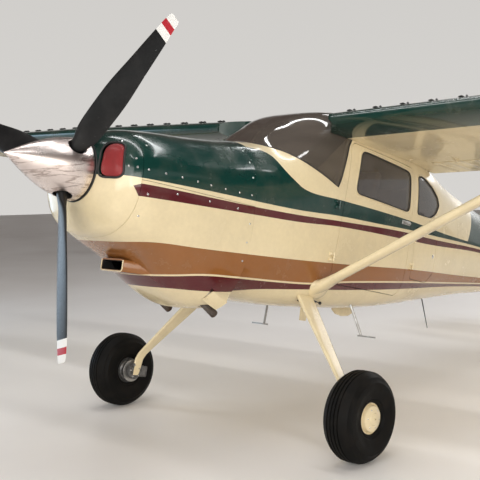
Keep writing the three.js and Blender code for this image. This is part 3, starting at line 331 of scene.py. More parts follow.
def bare_metal(name, light, dark, metallic=0.9, low=0.28, high=0.55, scale=24.0):
    """Metal left bare: streaked, dulled in patches, and pitted."""
    finish = Finish(name, Metallic=metallic)
    patches = finish.noise(scale, 6.0)
    pits = finish.noise(scale * 9, 3.0)
    colour = finish.mix(finish.span(patches, 0.35, 0.7), light, dark)
    return finish.done(colour, finish.span(patches, 0.3, 0.75, low, high), finish.bump(pits, 0.25, 0.0008))


def rubber():
    finish = Finish("worn_rubber", Specular_IOR_Level=0.12)
    dust = finish.span(finish.noise(11.0, 6.0), 0.45, 0.72)
    grain = finish.noise(260.0, 2.0)
    colour = finish.mix(finish.maths("MULTIPLY", dust, 0.3), (0.0035, 0.0033, 0.003, 1), (0.03, 0.025, 0.021, 1))
    return finish.done(colour, finish.span(dust, 0, 1, 0.55, 0.85), finish.bump(grain, 0.3, 0.0012))


def tinted_glass(name, tint, alpha):
    """Tinted acrylic with smears and a few fine scratches."""
    finish = Finish(name, Alpha=alpha, Coat_Weight=1.0, Coat_Roughness=0.02, IOR=1.49)
    smear_and_painted_reflection = finish.noise(4.0, 5.0, (1, 0.5, 2.2))
    scratch = finish.noise(150.0, 2.0, (1, 0.15, 1))
    colour = finish.mix(finish.span(smear_and_painted_reflection, 0.35, 0.8), tint, tuple(1.6 * c for c in tint[:3]) + (1,))
    finish.material.surface_render_method = "BLENDED"
    return finish.done(colour, finish.span(smear_and_painted_reflection, 0.3, 0.8, 0.03, 0.12), finish.bump(scratch, 0.03, 0.0004))


def cloth(name, thread, shadow, scale=900.0, sheen=0.4, coat=0.0):
    """A woven face: two sets of threads, with faded patches."""
    finish = Finish(name, Sheen_Weight=sheen, Sheen_Roughness=0.5, Coat_Weight=coat, Coat_Roughness=0.25)
    x, y, z = finish.add("ShaderNodeSeparateXYZ", {0: finish.coords}).outputs
    warp = finish.maths("SINE", finish.maths("MULTIPLY", finish.maths("ADD", x, y), scale))
    weft = finish.maths("SINE", finish.maths("MULTIPLY", finish.maths("SUBTRACT", z, y), scale))
    weave = finish.maths("MULTIPLY", warp, weft)
    faded = finish.noise(9.0, 5.0)
    colour = finish.mix(finish.span(weave, -1, 1, 0, 0.5), thread, shadow)
    colour = finish.mix(finish.span(faded, 0.4, 0.75, 0, 0.4), colour, tuple(1.5 * c for c in thread[:3]) + (1,))
    return finish.done(colour, finish.span(faded, 0.3, 0.8, 0.75, 0.95), finish.bump(weave, 0.35, 0.0007))


def leather(name, base, light):
    """Creased hide: a pebbled grain, lighter where it is rubbed."""
    finish = Finish(name, Specular_IOR_Level=0.45)
    grain = finish.add("ShaderNodeTexVoronoi", {"Vector": finish.coords, "Scale": 260.0},
                       feature="DISTANCE_TO_EDGE").outputs[0]
    creases = finish.noise(16.0, 6.0)
    colour = finish.mix(finish.span(creases, 0.35, 0.75), base, light)
    height = finish.maths("ADD", finish.span(grain, 0.0, 0.25), finish.span(creases, 0.3, 0.7))
    return finish.done(colour, finish.span(creases, 0.3, 0.75, 0.38, 0.62), finish.bump(height, 0.3, 0.0012))


def moulded(name, base, light, low=0.4, high=0.6, scale=320.0):
    """Moulded plastic or crackle paint: a fine even grain with handling marks."""
    finish = Finish(name)
    grain = finish.noise(scale, 2.0)
    marks = finish.noise(12.0, 5.0)
    colour = finish.mix(finish.span(marks, 0.4, 0.75, 0, 0.7), base, light)
    return finish.done(colour, finish.span(marks, 0.3, 0.8, low, high), finish.bump(grain, 0.3, 0.0007))


def lens_with_painted_glints(name, colour):
    finish = Finish(name, Coat_Weight=1.0, Coat_Roughness=0.03, Roughness=0.15)
    # Painted glints: the lens colour pales towards white in streaks along its ribs; the ribs' bumps are real.
    ribs_and_glints = finish.noise(80.0, 2.0, (1, 1, 6))
    return finish.done(finish.mix(finish.span(ribs_and_glints, 0.3, 0.7, 0, 0.35), colour, WHITE), None,
                       finish.bump(ribs_and_glints, 0.3, 0.001))


livery = livery_paint()
cream = plain_paint("cream_paint_plain", CREAM, dirt=0.16)
cream_smooth = plain_paint("cream_paint_smooth", CREAM, riveted=False, dirt=0.22)
cream_beaded = plain_paint("cream_paint_beaded", CREAM, riveted=False, waves=26.0)
cream_beaded_up = plain_paint("cream_paint_beaded_upright", CREAM, riveted=False, waves=-26.0)
green = plain_paint("green_paint_plain", GREEN)
black_blade = blade_paint()
chrome = polished_metal()
steel = bare_metal("bare_steel_worn", (0.55, 0.55, 0.54, 1), (0.3, 0.29, 0.28, 1))
bright_steel = bare_metal("bright_fastener", (0.72, 0.72, 0.71, 1), (0.5, 0.5, 0.5, 1), low=0.18, high=0.35)
brake_steel = bare_metal("brake_steel", (0.2, 0.2, 0.2, 1), (0.07, 0.068, 0.065, 1), 0.8, 0.4, 0.7, 30.0)
iron = bare_metal("heated_pipe", (0.16, 0.14, 0.125, 1), (0.06, 0.035, 0.022, 1), 0.6, 0.45, 0.75, 14.0)
tyre_rubber = rubber()
# Partly painted reflection: the windshield's tint is set lighter than the side windows' to stand for the bright hangar
# mirrored in it.
screen_glass = tinted_glass("windshield_acrylic", (0.1, 0.083, 0.068, 1), 0.62)
side_glass = tinted_glass("window_acrylic", (0.07, 0.06, 0.055, 1), 0.56)
foam_cloth = cloth("plug_cover_cloth", (0.25, 0.014, 0.015, 1), (0.12, 0.007, 0.009, 1), sheen=0.05, coat=0.35)
carpet = cloth("cabin_carpet", (0.07, 0.06, 0.05, 1), (0.03, 0.026, 0.022, 1), 500.0)
lining = moulded("cabin_lining", (0.42, 0.37, 0.28, 1), (0.5, 0.44, 0.34, 1), 0.6, 0.85)
hide = leather("seat_hide", (0.13, 0.075, 0.045, 1), (0.25, 0.16, 0.1, 1))
dark_plastic = moulded("dark_plastic_grained", (0.018, 0.018, 0.019, 1), (0.05, 0.048, 0.046, 1))
black_trim = moulded("black_seal", (0.014, 0.014, 0.014, 1), (0.035, 0.034, 0.032, 1), 0.5, 0.8)
dial_face = moulded("dial_face", (0.01, 0.01, 0.011, 1), (0.02, 0.02, 0.02, 1), 0.2, 0.35)
dial_mark = moulded("dial_mark", (0.7, 0.7, 0.66, 1), (0.8, 0.8, 0.76, 1))
red_lens = lens_with_painted_glints("red_lens", (0.55, 0.02, 0.02, 1))
green_lens = lens_with_painted_glints("green_lens", (0.02, 0.35, 0.12, 1))
clear_lens = lens_with_painted_glints("clear_lens", (0.7, 0.72, 0.74, 1))


# ---------------------------------------------------------------- shaping tools
def as_mesh(shape):
    """A bmesh made a mesh with an outer and an inner material place."""
    mesh = bpy.data.meshes.new("shape")
    shape.to_mesh(mesh)
    shape.free()
    mesh.materials.append(None)
    mesh.materials.append(None)
    return mesh


def loft(rings, inner=None):
    """A closed skin over rings of equal length; inner(ring, place) marks faces of the second material."""
    shape = bmesh.new()
    count = len(rings[0])
    line = [shape.verts.new(p) for p in rings[0]]
    edges = [shape.edges.new((line[k], line[(k + 1) % count])) for k in range(count)]
    shape.faces.new(line)
    for r, ring in enumerate(rings[1:]):
        place = {v: k for k, v in enumerate(line)}
        made = bmesh.ops.extrude_edge_only(shape, edges=edges)["geom"]
        fresh = [None] * count
        for vert in (g for g in made if isinstance(g, bmesh.types.BMVert)):
            for edge in vert.link_edges:
                if edge.other_vert(vert) in place:
                    fresh[place[edge.other_vert(vert)]] = vert
        for k, vert in enumerate(fresh):
            vert.co = ring[k]
        edges = [shape.edges.get((fresh[k], fresh[(k + 1) % count])) for k in range(count)]
        if inner:
            for k in range(count):
                if inner(r, k):
                    shared = set(fresh[k].link_faces) & set(line[k].link_faces) & set(fresh[(k + 1) % count].link_faces)
                    for face in shared:
                        face.material_index = 1
        line = fresh
    shape.faces.new(line)
    bmesh.ops.recalc_face_normals(shape, faces=shape.faces)
    return as_mesh(shape)


def merged(*meshes):
    """Meshes put in one, without joining their surfaces."""
    shape = bmesh.new()
    for mesh in meshes:
        shape.from_mesh(mesh)
    return as_mesh(shape)


def combine(operation, base, tools):
    """base after a solid operation with each tool in turn."""
    holder = bpy.data.objects.new("work", base)
    scene.collection.objects.link(holder)
    helpers = []
    for tool in tools:
        helper = bpy.data.objects.new("tool", tool)
        scene.collection.objects.link(helper)
        step = holder.modifiers.new("step", "BOOLEAN")
        step.operation, step.solver, step.object = operation, "MANIFOLD", helper
        helpers.append(helper)
    graph = bpy.context.evaluated_depsgraph_get()
    made = bpy.data.meshes.new_from_object(holder.evaluated_get(graph), depsgraph=graph)
    for extra in (holder, *helpers):
        bpy.data.objects.remove(extra)
    if not made.polygons:
        raise ValueError(f"nothing is left after {operation}")
    return made


def cut(base, *tools):
    return combine("DIFFERENCE", base, tools)


def join(base, *tools):
    return combine("UNION", base, tools)


def common(base, *tools):
    return combine("INTERSECT", base, tools)


def second(mesh):
    """The same mesh with every face in the second material."""
    for face in mesh.polygons:
        face.material_index = 1
    return mesh


def other_side(mesh):
    """A mirror copy on the other side of the airframe."""
    twin = mesh.copy()
    twin.transform(Matrix.Scale(-1, 4, (1, 0, 0)))
    twin.flip_normals()
    return twin


def block(x0, x1, y0, y1, z0, z1, bevel=0.0):
    shape = bmesh.new()
    size = Matrix.Diagonal((x1 - x0, y1 - y0, z1 - z0, 1))
    middle = Matrix.Translation(((x0 + x1) / 2, (y0 + y1) / 2, (z0 + z1) / 2))
    bmesh.ops.create_cube(shape, size=1, matrix=middle @ size)
    if bevel:
        bmesh.ops.bevel(shape, geom=shape.edges[:], offset=bevel, segments=3, profile=0.5, affect="EDGES", material=-1)
    return as_mesh(shape)


def pointing(start, end):
    """The place and turn that lay a centred z axis from start to end, and the distance between them."""
    start, end = Vector(start), Vector(end)
    axis = end - start
    turn = axis.to_track_quat("Z", "Y").to_matrix().to_4x4()
    return Matrix.Translation((start + end) / 2) @ turn, axis.length


def rod(start, end, radius, end_radius=None, sides=32):
    shape = bmesh.new()
    place, length = pointing(start, end)
    far = radius if end_radius is None else end_radius
    bmesh.ops.create_cone(shape, cap_ends=True, segments=sides, radius1=radius, radius2=far, depth=length, matrix=place)
    return as_mesh(shape)


def lathe(profile, centre, along="x", steps=72):
    """A closed profile of radius and distance, turned about a line through centre."""
    shape = bmesh.new()
    line = [shape.verts.new((r, 0, d)) for r, d in profile]
    edges = [shape.edges.new((line[k], line[k - 1])) for k in range(len(line)) if line[k].co != line[k - 1].co]
    bmesh.ops.spin(shape, geom=line + edges, cent=(0, 0, 0), axis=(0, 0, 1), angle=2 * math.pi, steps=steps,
                   use_merge=True)
    bmesh.ops.remove_doubles(shape, verts=shape.verts, dist=0.01)
    bmesh.ops.dissolve_degenerate(shape, edges=shape.edges, dist=0.01)
    bmesh.ops.recalc_face_normals(shape, faces=shape.faces)
    turn = Matrix.Rotation(math.pi / 2, 4, "Y") if along == "x" else Matrix.Rotation(-math.pi / 2, 4, "X")
    bmesh.ops.transform(shape, matrix=Matrix.Translation(centre) @ turn, verts=shape.verts)
    return as_mesh(shape)


def softened(corners, radius, steps=6):
    """An outline with its corners rounded."""
    if not radius:
        return [Vector(c) for c in corners]
    line = []
    for i, corner in enumerate(corners):
        here, before, after = Vector(corner), Vector(corners[i - 1]), Vector(corners[(i + 1) % len(corners)])
        start = here + (before - here).normalized() * radius
        end = here + (after - here).normalized() * radius
        for k in range(steps + 1):
            t = k / steps
            line.append((1 - t) ** 2 * start + 2 * t * (1 - t) * here + t * t * end)
    return line


def oblong(width, thick):
    """The corners of a rectangle about the origin."""
    return [(-width / 2, -thick / 2), (width / 2, -thick / 2), (width / 2, thick / 2), (-width / 2, thick / 2)]


def slab(outline, lay, depth):
    """A flat outline laid in space by lay(a, b) and carried along depth."""
    shape = bmesh.new()
    face = shape.faces.new([shape.verts.new(lay(*p)) for p in outline])
    made = bmesh.ops.extrude_face_region(shape, geom=[face])["geom"]
    bmesh.ops.translate(shape, vec=depth, verts=[g for g in made if isinstance(g, bmesh.types.BMVert)])
    bmesh.ops.recalc_face_normals(shape, faces=shape.faces)
    return as_mesh(shape)


def side_slab(corners, low, high, radius=0):
    """An outline seen from the side, carried across from x = low to high."""
    return slab(softened(corners, radius), lambda s, h: (low, s, h), (high - low, 0, 0))


def plan_slab(corners, low, high, radius=0):
    """An outline seen from above, carried up from z = low to high."""
    return slab(softened(corners, radius), lambda x, s: (x, s, low), (0, 0, high - low))


def front_slab(corners, low, high, radius=0):
    """An outline seen from the front, carried aft from y = low to high."""
    return slab(softened(corners, radius), lambda x, h: (x, low, h), (0, high - low, 0))


def tube(points, radius, closed=False, fine=2):
    """A round cord of paint, seal or wire along points."""
    line = bpy.data.curves.new("line", "CURVE")
    line.dimensions, line.bevel_depth, line.bevel_resolution, line.use_fill_caps = "3D", radius, fine, True
    spline = line.splines.new("POLY")
    spline.points.add(len(points) - 1)
    for spot, p in zip(spline.points, points):
        spot.co = (*p, 1)
    spline.use_cyclic_u = closed
    holder = bpy.data.objects.new("line", line)
    scene.collection.objects.link(holder)
    mesh = bpy.data.meshes.new_from_object(holder)
    bpy.data.objects.remove(holder)
    mesh.materials.append(None)
    mesh.materials.append(None)
    return mesh


def studs(spots, radius, height, sides=8):
    """A low dome at each (place, outward) pair: rivets, screws and fasteners."""
    shape = bmesh.new()
    for place, outward in spots:
        turn = Vector(outward).to_track_quat("Z", "Y").to_matrix().to_4x4()
        base = Matrix.Translation(Vector(place) + Vector(outward).normalized() * height * 0.35) @ turn
        bmesh.ops.create_cone(shape, cap_ends=True, segments=sides, radius1=radius, radius2=radius * 0.62,
                              depth=height, matrix=base)
    return as_mesh(shape)


def keep(name, mesh, finishes, body, nodes=(), angle=30):
    """Stands a shape in the row frame as a piece that rides on a body."""
    mesh.name = name
    mesh.transform(PLACE)
    finishes = finishes if isinstance(finishes, tuple) else (finishes, finishes)
    while len(mesh.materials) < 2:
        mesh.materials.append(None)
    for k in (0, 1):
        mesh.materials[k] = finishes[k]
    mesh.polygons.foreach_set("use_smooth", [True] * len(mesh.polygons))
    mesh.set_sharp_from_angle(angle=math.radians(angle))
    piece = bpy.data.objects.new(name, mesh)
    scene.collection.objects.link(piece)
    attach(piece, body)
    if nodes:
        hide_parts(*nodes)
    return piece


def keep_pair(stem, mesh, finishes, node=None, bodies=("airframe", "airframe"), angle=30):
    """A piece on the left and its mirror on the right, each standing for its own node."""
    twin = other_side(mesh)
    return [
        keep(f"{stem}_{side}", half, finishes, body, (f"{node}_{side}",) if node else (), angle)
        for side, half, body in zip(("left", "right"), (mesh, twin), bodies)
    ]


# ---------------------------------------------------------------- the body's hull
# Rows: y station, half width, top, bottom, height of the widest point, squareness above and below.
COWL_SECTIONS = [
    (-1032, 235, 172, -225, -8, 2.2, 2.1), (-1000, 345, 210, -292, -10, 2.3, 2.2),
    (-955, 405, 246, -354, -15, 2.4, 2.3), (-880, 443, 282, -385, -22, 2.5, 2.4),
    (-750, 466, 310, -434, -30, 2.5, 2.6), (-600, 480, 332, -502, -34, 2.5, 2.5),
    (-390, 492, 358, -640, -40, 2.5, 2.5), (-170, 504, 390, -727, -45, 2.6, 2.7),
    (0, 512, 424, -722, -50, 2.6, 2.9),
]
BODY_SECTIONS = [
    (0, 512, 424, -614, -50, 2.6, 3.2), (250, 530, 478, -632, -50, 2.7, 3.5), (500, 545, 655, -640, -50, 2.9, 4.2),
    (720, 556, 792, -632, -50, 3.6, 4.4), (950, 560, 848, -618, -40, 4.4, 4.4), (1500, 556, 844, -566, -20, 4.4, 4.0),
    (2000, 512, 780, -498, 10, 3.8, 3.4), (2650, 408, 668, -392, 50, 2.6, 2.8), (3400, 305, 552, -268, 90, 2.3, 2.4),
    (4500, 180, 420, -110, 130, 2.2, 2.2), (5300, 95, 325, 0, 140, 2.1, 2.1), (5785, 45, 262, 48, 150, 2.0, 2.0),
]
COWL_FRONT, BOWL_BACK, COWL_SPLIT = -1032, -890, -34
CABIN_END, TAIL_END = 2650, 5785
COWL_WALL, CABIN_WALL = 7, 36
GLASS_OUT, GLASS_IN = 4, 10
SEAM = 1.3
HULL_SIDES = 96
# How far beside a place the skin is read again to find its slope.
PROBE = 8


def linear_row(table, value):
    """One row of a table at any value, on straight lines between the rows."""
    i = max(1, next((k for k, row in enumerate(table) if row[0] >= value), len(table) - 1))
    a, b = table[i - 1], table[i]
    return [p + (value - a[0]) / (b[0] - a[0]) * (q - p) for p, q in zip(a, b)]


def row_at(table, station):
    """One row of a table at any station, each column on a smooth curve through the rows beside it."""
    last = len(table) - 2
    i = max(0, min(last, sum(row[0] <= station for row in table) - 1))
    a, b = table[i], table[i + 1]
    before, after = table[max(0, i - 1)], table[min(len(table) - 1, i + 2)]
    gap = b[0] - a[0]
    t = min(1.0, max(0.0, (station - a[0]) / gap))
    row = []
    for k, value in enumerate(a):
        slope_a = (b[k] - before[k]) / (b[0] - before[0]) * gap
        slope_b = (after[k] - value) / (after[0] - a[0]) * gap
        rise = b[k] - value
        row.append(value + t * (slope_a + t * (3 * rise - 2 * slope_a - slope_b + t * (slope_a + slope_b - 2 * rise))))
    return row


def signed_power(value, power):
    return math.copysign(abs(value) ** power, value)


def body_ring(station, inset, table):
    """The body's outline at a station, drawn in by inset."""
    _, half, top, bottom, widest, square_top, square_low = row_at(table, station)
    ring = []
    for k in range(HULL_SIDES):
        angle = (k + 0.5) / HULL_SIDES * 2 * math.pi
        up = math.sin(angle) > 0
        power = 2 / (square_top if up else square_low)
        reach = top - inset - widest if up else widest - bottom - inset
        x = (half - inset) * signed_power(math.cos(angle), power)
        ring.append(Vector((x, station, widest + reach * signed_power(math.sin(angle), power))))
    return ring


def hull(front, back, inset, table, step):
    """The body between two stations, with a ring about every step."""
    steps = max(1, round((back - front) / step))
    stations = [front + (back - front) * k / steps for k in range(steps + 1)]
    return loft([body_ring(s, inset, table) for s in stations])


def table_for(station):
    return COWL_SECTIONS if station < 0 else BODY_SECTIONS


def skin_x(s, h, inset=0.0):
    """How far out the skin is at a station and height."""
    _, half, top, bottom, widest, square_top, square_low = row_at(table_for(s), s)
    share = (h - widest) / (top - inset - widest) if h > widest else (widest - h) / (widest - bottom - inset)
    power = square_top if h > widest else square_low
    return (half - inset) * max(0.0, 1 - min(1.0, share) ** power) ** (1 / power)


def skin_z(s, x):
    """The height of the skin's top at a station and distance out."""
    _, half, top, _, widest, square_top, _ = row_at(table_for(s), s)
    share = min(1.0, abs(x) / half)
    return widest + (top - widest) * (1 - share ** square_top) ** (1 / square_top)


def on_side(s, h, lift=0.0):
    """A place on the left side's skin and the way outwards."""
    place = Vector((skin_x(s, h), s, h))
    aft = Vector((skin_x(s + PROBE, h), s + PROBE, h)) - place
    up = Vector((skin_x(s, h + PROBE), s, h + PROBE)) - place
    outward = aft.cross(up).normalized()
    return place + outward * lift, outward


def on_top(s, x):
    """A place on the skin's top and the way outwards."""
    place = Vector((x, s, skin_z(s, x)))
    aft = Vector((x, s + PROBE, skin_z(s + PROBE, x))) - place
    across = Vector((x + PROBE, s, skin_z(s, x + PROBE))) - place
    return place, across.cross(aft).normalized()


def along_side(corners, radius, lift, closed=True, step=35):
    """A side outline laid on the skin, for seals, lips and seams."""
    line = softened(corners, radius, 5)
    spots = []
    pairs = zip(line, line[1:] + line[:1]) if closed else zip(line, line[1:])
    for a, b in pairs:
        count = max(1, int((b - a).length / step))
        spots += [a.lerp(b, k / count) for k in range(count)]
    if not closed:
        spots.append(line[-1])
    return [on_side(p.x, p.y, lift)[0] for p in spots]


# ---------------------------------------------------------------- propeller
SPINNER_TIP, SPINNER_BACK, SPINNER_RADIUS = -1538, -1048, 186
SPINNER_SCREWS = 36
BLADE_PLANE, FIRST_BLADE, CUTOUT = -1142, math.radians(46.7), 58
BLADE_SETTING, BLADE_SIDES = 6, 40
BLADE_ROUND_UNTIL, BLADE_ROUND_BLEND = 260, 100
BLADE_ANGLES = [FIRST_BLADE + math.radians(120 * k) for k in range(3)]
# Blade rows: radius, chord, thickness, twist in degrees, sweep of the middle line.
BLADE_SECTIONS = [
    (95, 84, 80, 38, 0), (190, 102, 64, 30, 0), (280, 160, 42, 18, 0), (420, 178, 30, 15, 0), (600, 180, 22, 12, 0),
    (800, 152, 15, 7, 0), (980, 126, 11, 3, 0), (1100, 100, 8, 1, 0), (1140, 86, 6, 1, 3), (1150, 66, 4, 1, 6),
]
BLADE_REACHES = [95 + 12.5 * k for k in range(84)] + [1142, 1146, 1149, 1150]


def blade_point(angle, reach, y=BLADE_PLANE):
    """A place at a reach from the propeller's axis, at an angle from straight up."""
    return Vector((math.sin(angle) * reach, y, math.cos(angle) * reach))


def spinner_shell():
    """A hollow round-nosed cone with a hole for each blade."""
    steps, wall = 36, 4
    outer = []
    for k in range(steps + 1):
        share = (k / steps) ** 1.3
        outer.append((SPINNER_RADIUS * math.sin(share * math.pi / 2) if k else 0.0,
                      SPINNER_TIP + (SPINNER_BACK - SPINNER_TIP) * share))
    inner = [(r - wall, y + wall * 0.4) for r, y in outer[6:-1]]
    profile = outer + [(SPINNER_RADIUS - wall, SPINNER_BACK)] + inner[::-1] + [(0.0, inner[0][1])]
    shell = lathe(profile, (0, 0, 0), "y", 96)
    return cut(shell, *(rod(blade_point(a, 40), blade_point(a, 260), CUTOUT) for a in BLADE_ANGLES))


def blade(angle):
    """A twisted blade, round at its root and thinner towards one edge further out."""
    side = Vector((math.cos(angle), 0, -math.sin(angle)))
    rings = []
    for reach, chord, thick, twist, sweep in (row_at(BLADE_SECTIONS, reach) for reach in BLADE_REACHES):
        turn = math.radians(BLADE_SETTING + twist)
        round_root = max(0.0, min(1.0, (BLADE_ROUND_UNTIL - reach) / BLADE_ROUND_BLEND))
        ring = []
        for k in range(BLADE_SIDES):
            t = 2 * math.pi * k / BLADE_SIDES
            along = chord / 2 * math.cos(t)
            taper = 1.0 if round_root > 0.99 else 1 - (1 - round_root) * 0.28 * (1 + math.cos(t)) / 2
            across = thick / 2 * signed_power(math.sin(t), 1.15) * taper
            along += sweep
            u, v = along * math.cos(turn) - across * math.sin(turn), along * math.sin(turn) + across * math.cos(turn)
            ring.append(blade_point(angle, reach) + side * u + Vector((0, v, 0)))
        rings.append(ring)
    return loft(rings)


keep("spinner_shell", spinner_shell(), chrome, "propeller", ("spinner",))
for number, turned_to in enumerate(BLADE_ANGLES, 1):
    keep(f"blade_shape_{number}", blade(turned_to), black_blade, "propeller", (f"blade_{number}",))
    cuff = lathe([(41, 0), (47, 0), (49, 6), (49, 16), (46, 20), (46, 34), (41, 34)], (0, 0, 0), "y", 40)
    lie = Vector((0, 1, 0)).rotation_difference(blade_point(turned_to, 1, 0)).to_matrix().to_4x4()
    cuff.transform(Matrix.Translation(blade_point(turned_to, 96)) @ lie)
    keep(f"blade_clamp_{number}", cuff, steel, "propeller")
screws = []
for k in range(SPINNER_SCREWS):
    turned_to = math.radians(360 / SPINNER_SCREWS * (k + 0.5))
    if min(abs((turned_to - a + math.pi) % (2 * math.pi) - math.pi) for a in BLADE_ANGLES) > 0.05:
        screws.append((blade_point(turned_to, SPINNER_RADIUS - 1, SPINNER_BACK - 9), blade_point(turned_to, 1, 0)))
keep("spinner_screws", studs(screws, 3.4, 2.2, 10), bright_steel, "propeller")

# ---------------------------------------------------------------- nose: bowl, cowls, plugs, scoop, stacks, flaps
INLET = {"inner": 205, "outer": 382, "low": -40, "high": 170, "corner": 62}
SHAFT_HOLE = 120
# The plug's rings: share of the inlet's outline, and how far out of the bowl's surface.
PLUG_RINGS = [(0.94, -128), (0.97, -110), (1, -70), (1, -30), (1, -12), (0.985, -5), (0.955, -1), (0.93, 0.2),
              (0.9, -1.2), (0.86, 0.8), (0.78, 3.5), (0.66, 6.4), (0.52, 8.2), (0.38, 9.2), (0.24, 9.7),
              (0.12, 9.9), (0.05, 10)]


def across_body(front, back, low=-900, high=900):
    """A block wider than the body."""
    return block(-700, 700, front, back, low, high)


def inlet_corners(grow):
    """The inlet's outline, its outer side leaning in towards the top."""
    low, high = INLET["low"] - grow, INLET["high"] + grow
    inner, outer = INLET["inner"] - grow, INLET["outer"] + grow
    return [(inner, low), (outer + 4, low), (outer - 46, high), (inner, high)]


nose_outer = hull(COWL_FRONT, 0, 0, COWL_SECTIONS, 24)
nose_inner = second(hull(COWL_FRONT + 12, 20, COWL_WALL, COWL_SECTIONS, 24))
nose_shell = cut(nose_outer, nose_inner)
inlet_hole = front_slab(inlet_corners(0), -1300, -900, INLET["corner"])
inlet_hole_right = other_side(inlet_hole)
shaft_hole = rod((0, -1200, 0), (0, -1000, 0), SHAFT_HOLE, None, 48)
bowl = common(nose_shell, across_body(-1300, BOWL_BACK - SEAM))
bowl = cut(bowl, shaft_hole, inlet_hole, inlet_hole_right)
keep("nose_bowl_shell", bowl, (livery, dark_plastic), "airframe", ("nose_bowl",))


def nose_front(x, h):
    """The station where the bowl's outside is met by a line running aft at x and h."""
    low, high = COWL_FRONT, -700
    for _ in range(30):
        middle = (low + high) / 2
        if skin_x(middle, h) > abs(x):
            high = middle
        else:
            low = middle
    return high


def plug():
    """A crowned foam block: its face swells proud of the inlet and pulls in at its corners."""
    edge = softened([(max(x, INLET["inner"] + 16), h) for x, h in inlet_corners(-3)], INLET["corner"] - 2, 8)
    centre = sum((Vector(p) for p in edge), Vector((0, 0))) / len(edge)
    rings = []
    for share, out in PLUG_RINGS:
        ring = []
        for p in edge:
            q = centre.lerp(p, share)
            front = nose_front(q.x, q.y) - out * 0.9
            ring.append(Vector((q.x, front if out > -20 else max(front, nose_front(q.x, q.y) + 8), q.y)))
        rings.append(ring)
    return loft(rings)


plug_mesh = plug()
for piece in keep_pair("inlet_plug_foam", plug_mesh, foam_cloth, "inlet_plug", angle=60):
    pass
rim = [Vector((p.x, nose_front(p.x, p.y) - 1.5, p.y)) for p in softened(inlet_corners(3), INLET["corner"] + 2, 8)]
keep_pair("inlet_rim", tube(rim, 6.5, True, 3), black_trim)

# Painted shade: a black ring laid on the bowl's front face stands for the shade in the gap between the spinner and the
# bowl.
seal = lathe([(SHAFT_HOLE + 1, -1039), (186, -1039), (192, -1035), (192, -1032.5), (SHAFT_HOLE + 1, -1032.5)],
             (0, 0, 0), "y", 72)
keep("bowl_front_shade_ring", seal, black_trim, "airframe")

EXHAUST = {"port": (212, -400, -235.3), "bend": (214, -372, -508), "end": (222, 38, -746), "radius": 27}


def rounded_path(port, bend, end, reach=70, steps=10):
    """A path from port to end that rounds its bend."""
    port, bend, end = Vector(port), Vector(bend), Vector(end)
    start, finish = bend + (port - bend).normalized() * reach, bend + (end - bend).normalized() * reach
    arc = [(1 - t) ** 2 * start + 2 * t * (1 - t) * bend + t * t * finish
           for t in (k / steps for k in range(steps + 1))]
    return [port, *arc, end]


def pipe(path, radius, wall=2.5, sides=32):
    """A pipe with an open end, its bore running back up the inside."""
    def ring(at, ahead, r):
        turn = ahead.to_track_quat("Z", "Y")
        return [at + turn @ Vector((r * math.cos(2 * math.pi * k / sides), r * math.sin(2 * math.pi * k / sides), 0))
                for k in range(sides)]

    ways = [(path[min(k + 1, len(path) - 1)] - path[max(k - 1, 0)]).normalized() for k in range(len(path))]
    rings = [ring(p, w, radius) for p, w in zip(path, ways)]
    rings += [ring(path[-1] + ways[-1] * 0.5, ways[-1], radius - wall)]
    rings += [ring(path[-1] - ways[-1] * d, ways[-1], radius - wall) for d in (30, 120)]
    return loft(rings)


stack = pipe(rounded_path(EXHAUST["port"], EXHAUST["bend"], EXHAUST["end"]), EXHAUST["radius"])
keep_pair("exhaust_pipe", stack, iron, "exhaust")

SCOOP = {"mouth": -680, "back": -450, "wall": 10, "rings": ((105, -480, -560), (200, -490, -560))}


def scoop(inset, radius=22):
    """The air scoop under the cowl, widening from its mouth; inset draws it in for the bore."""
    rings = []
    for share in (0, 0.5, 1):
        half, top, bottom = (a + (b - a) * share for a, b in zip(*SCOOP["rings"]))
        station = SCOOP["mouth"] + (SCOOP["back"] - SCOOP["mouth"]) * share - (inset if not share else 0)
        corners = [(-half + inset, bottom + inset), (half - inset, bottom + inset), (half - inset, top - inset),
                   (-half + inset, top - inset)]
        rings.append([Vector((p.x, station, p.y)) for p in softened(corners, max(6, radius - inset), 5)])
    return loft(rings)


COWL_FLAP = {"inner": 300, "outer": 372, "front": -160, "back": -16, "gap": 5, "open": 20, "pin_to": 350,
             "pin": 3.5}
flap_hinge = Vector((0, COWL_FLAP["front"], -653.6))


def flap_zone(gap):
    """The room of the left cowl flap, with a gap round it."""
    return block(COWL_FLAP["inner"] - gap, COWL_FLAP["outer"] + gap, COWL_FLAP["front"] - gap,
                 COWL_FLAP["back"] + gap, -900, -380)


cowl_flap = common(nose_shell, flap_zone(0))
cowl_flap = join(cowl_flap, rod((COWL_FLAP["inner"], *flap_hinge.yz), (COWL_FLAP["pin_to"], *flap_hinge.yz),
                                COWL_FLAP["pin"], None, 16))
cheek = side_slab([(-150, -600), (-18, -604), (-18, -548), (-70, -552), (-150, -584)], 364, 368.5, 8)
cowl_flap = merged(cowl_flap, cheek)
opened = Matrix.Rotation(-math.radians(COWL_FLAP["open"]), 4, "X")
cowl_flap.transform(Matrix.Translation(flap_hinge) @ opened @ Matrix.Translation(-flap_hinge))
keep_pair("cowl_flap_panel", cowl_flap, (livery, steel), "cowl_flap",
          ("left_cowl_flap", "right_cowl_flap"))

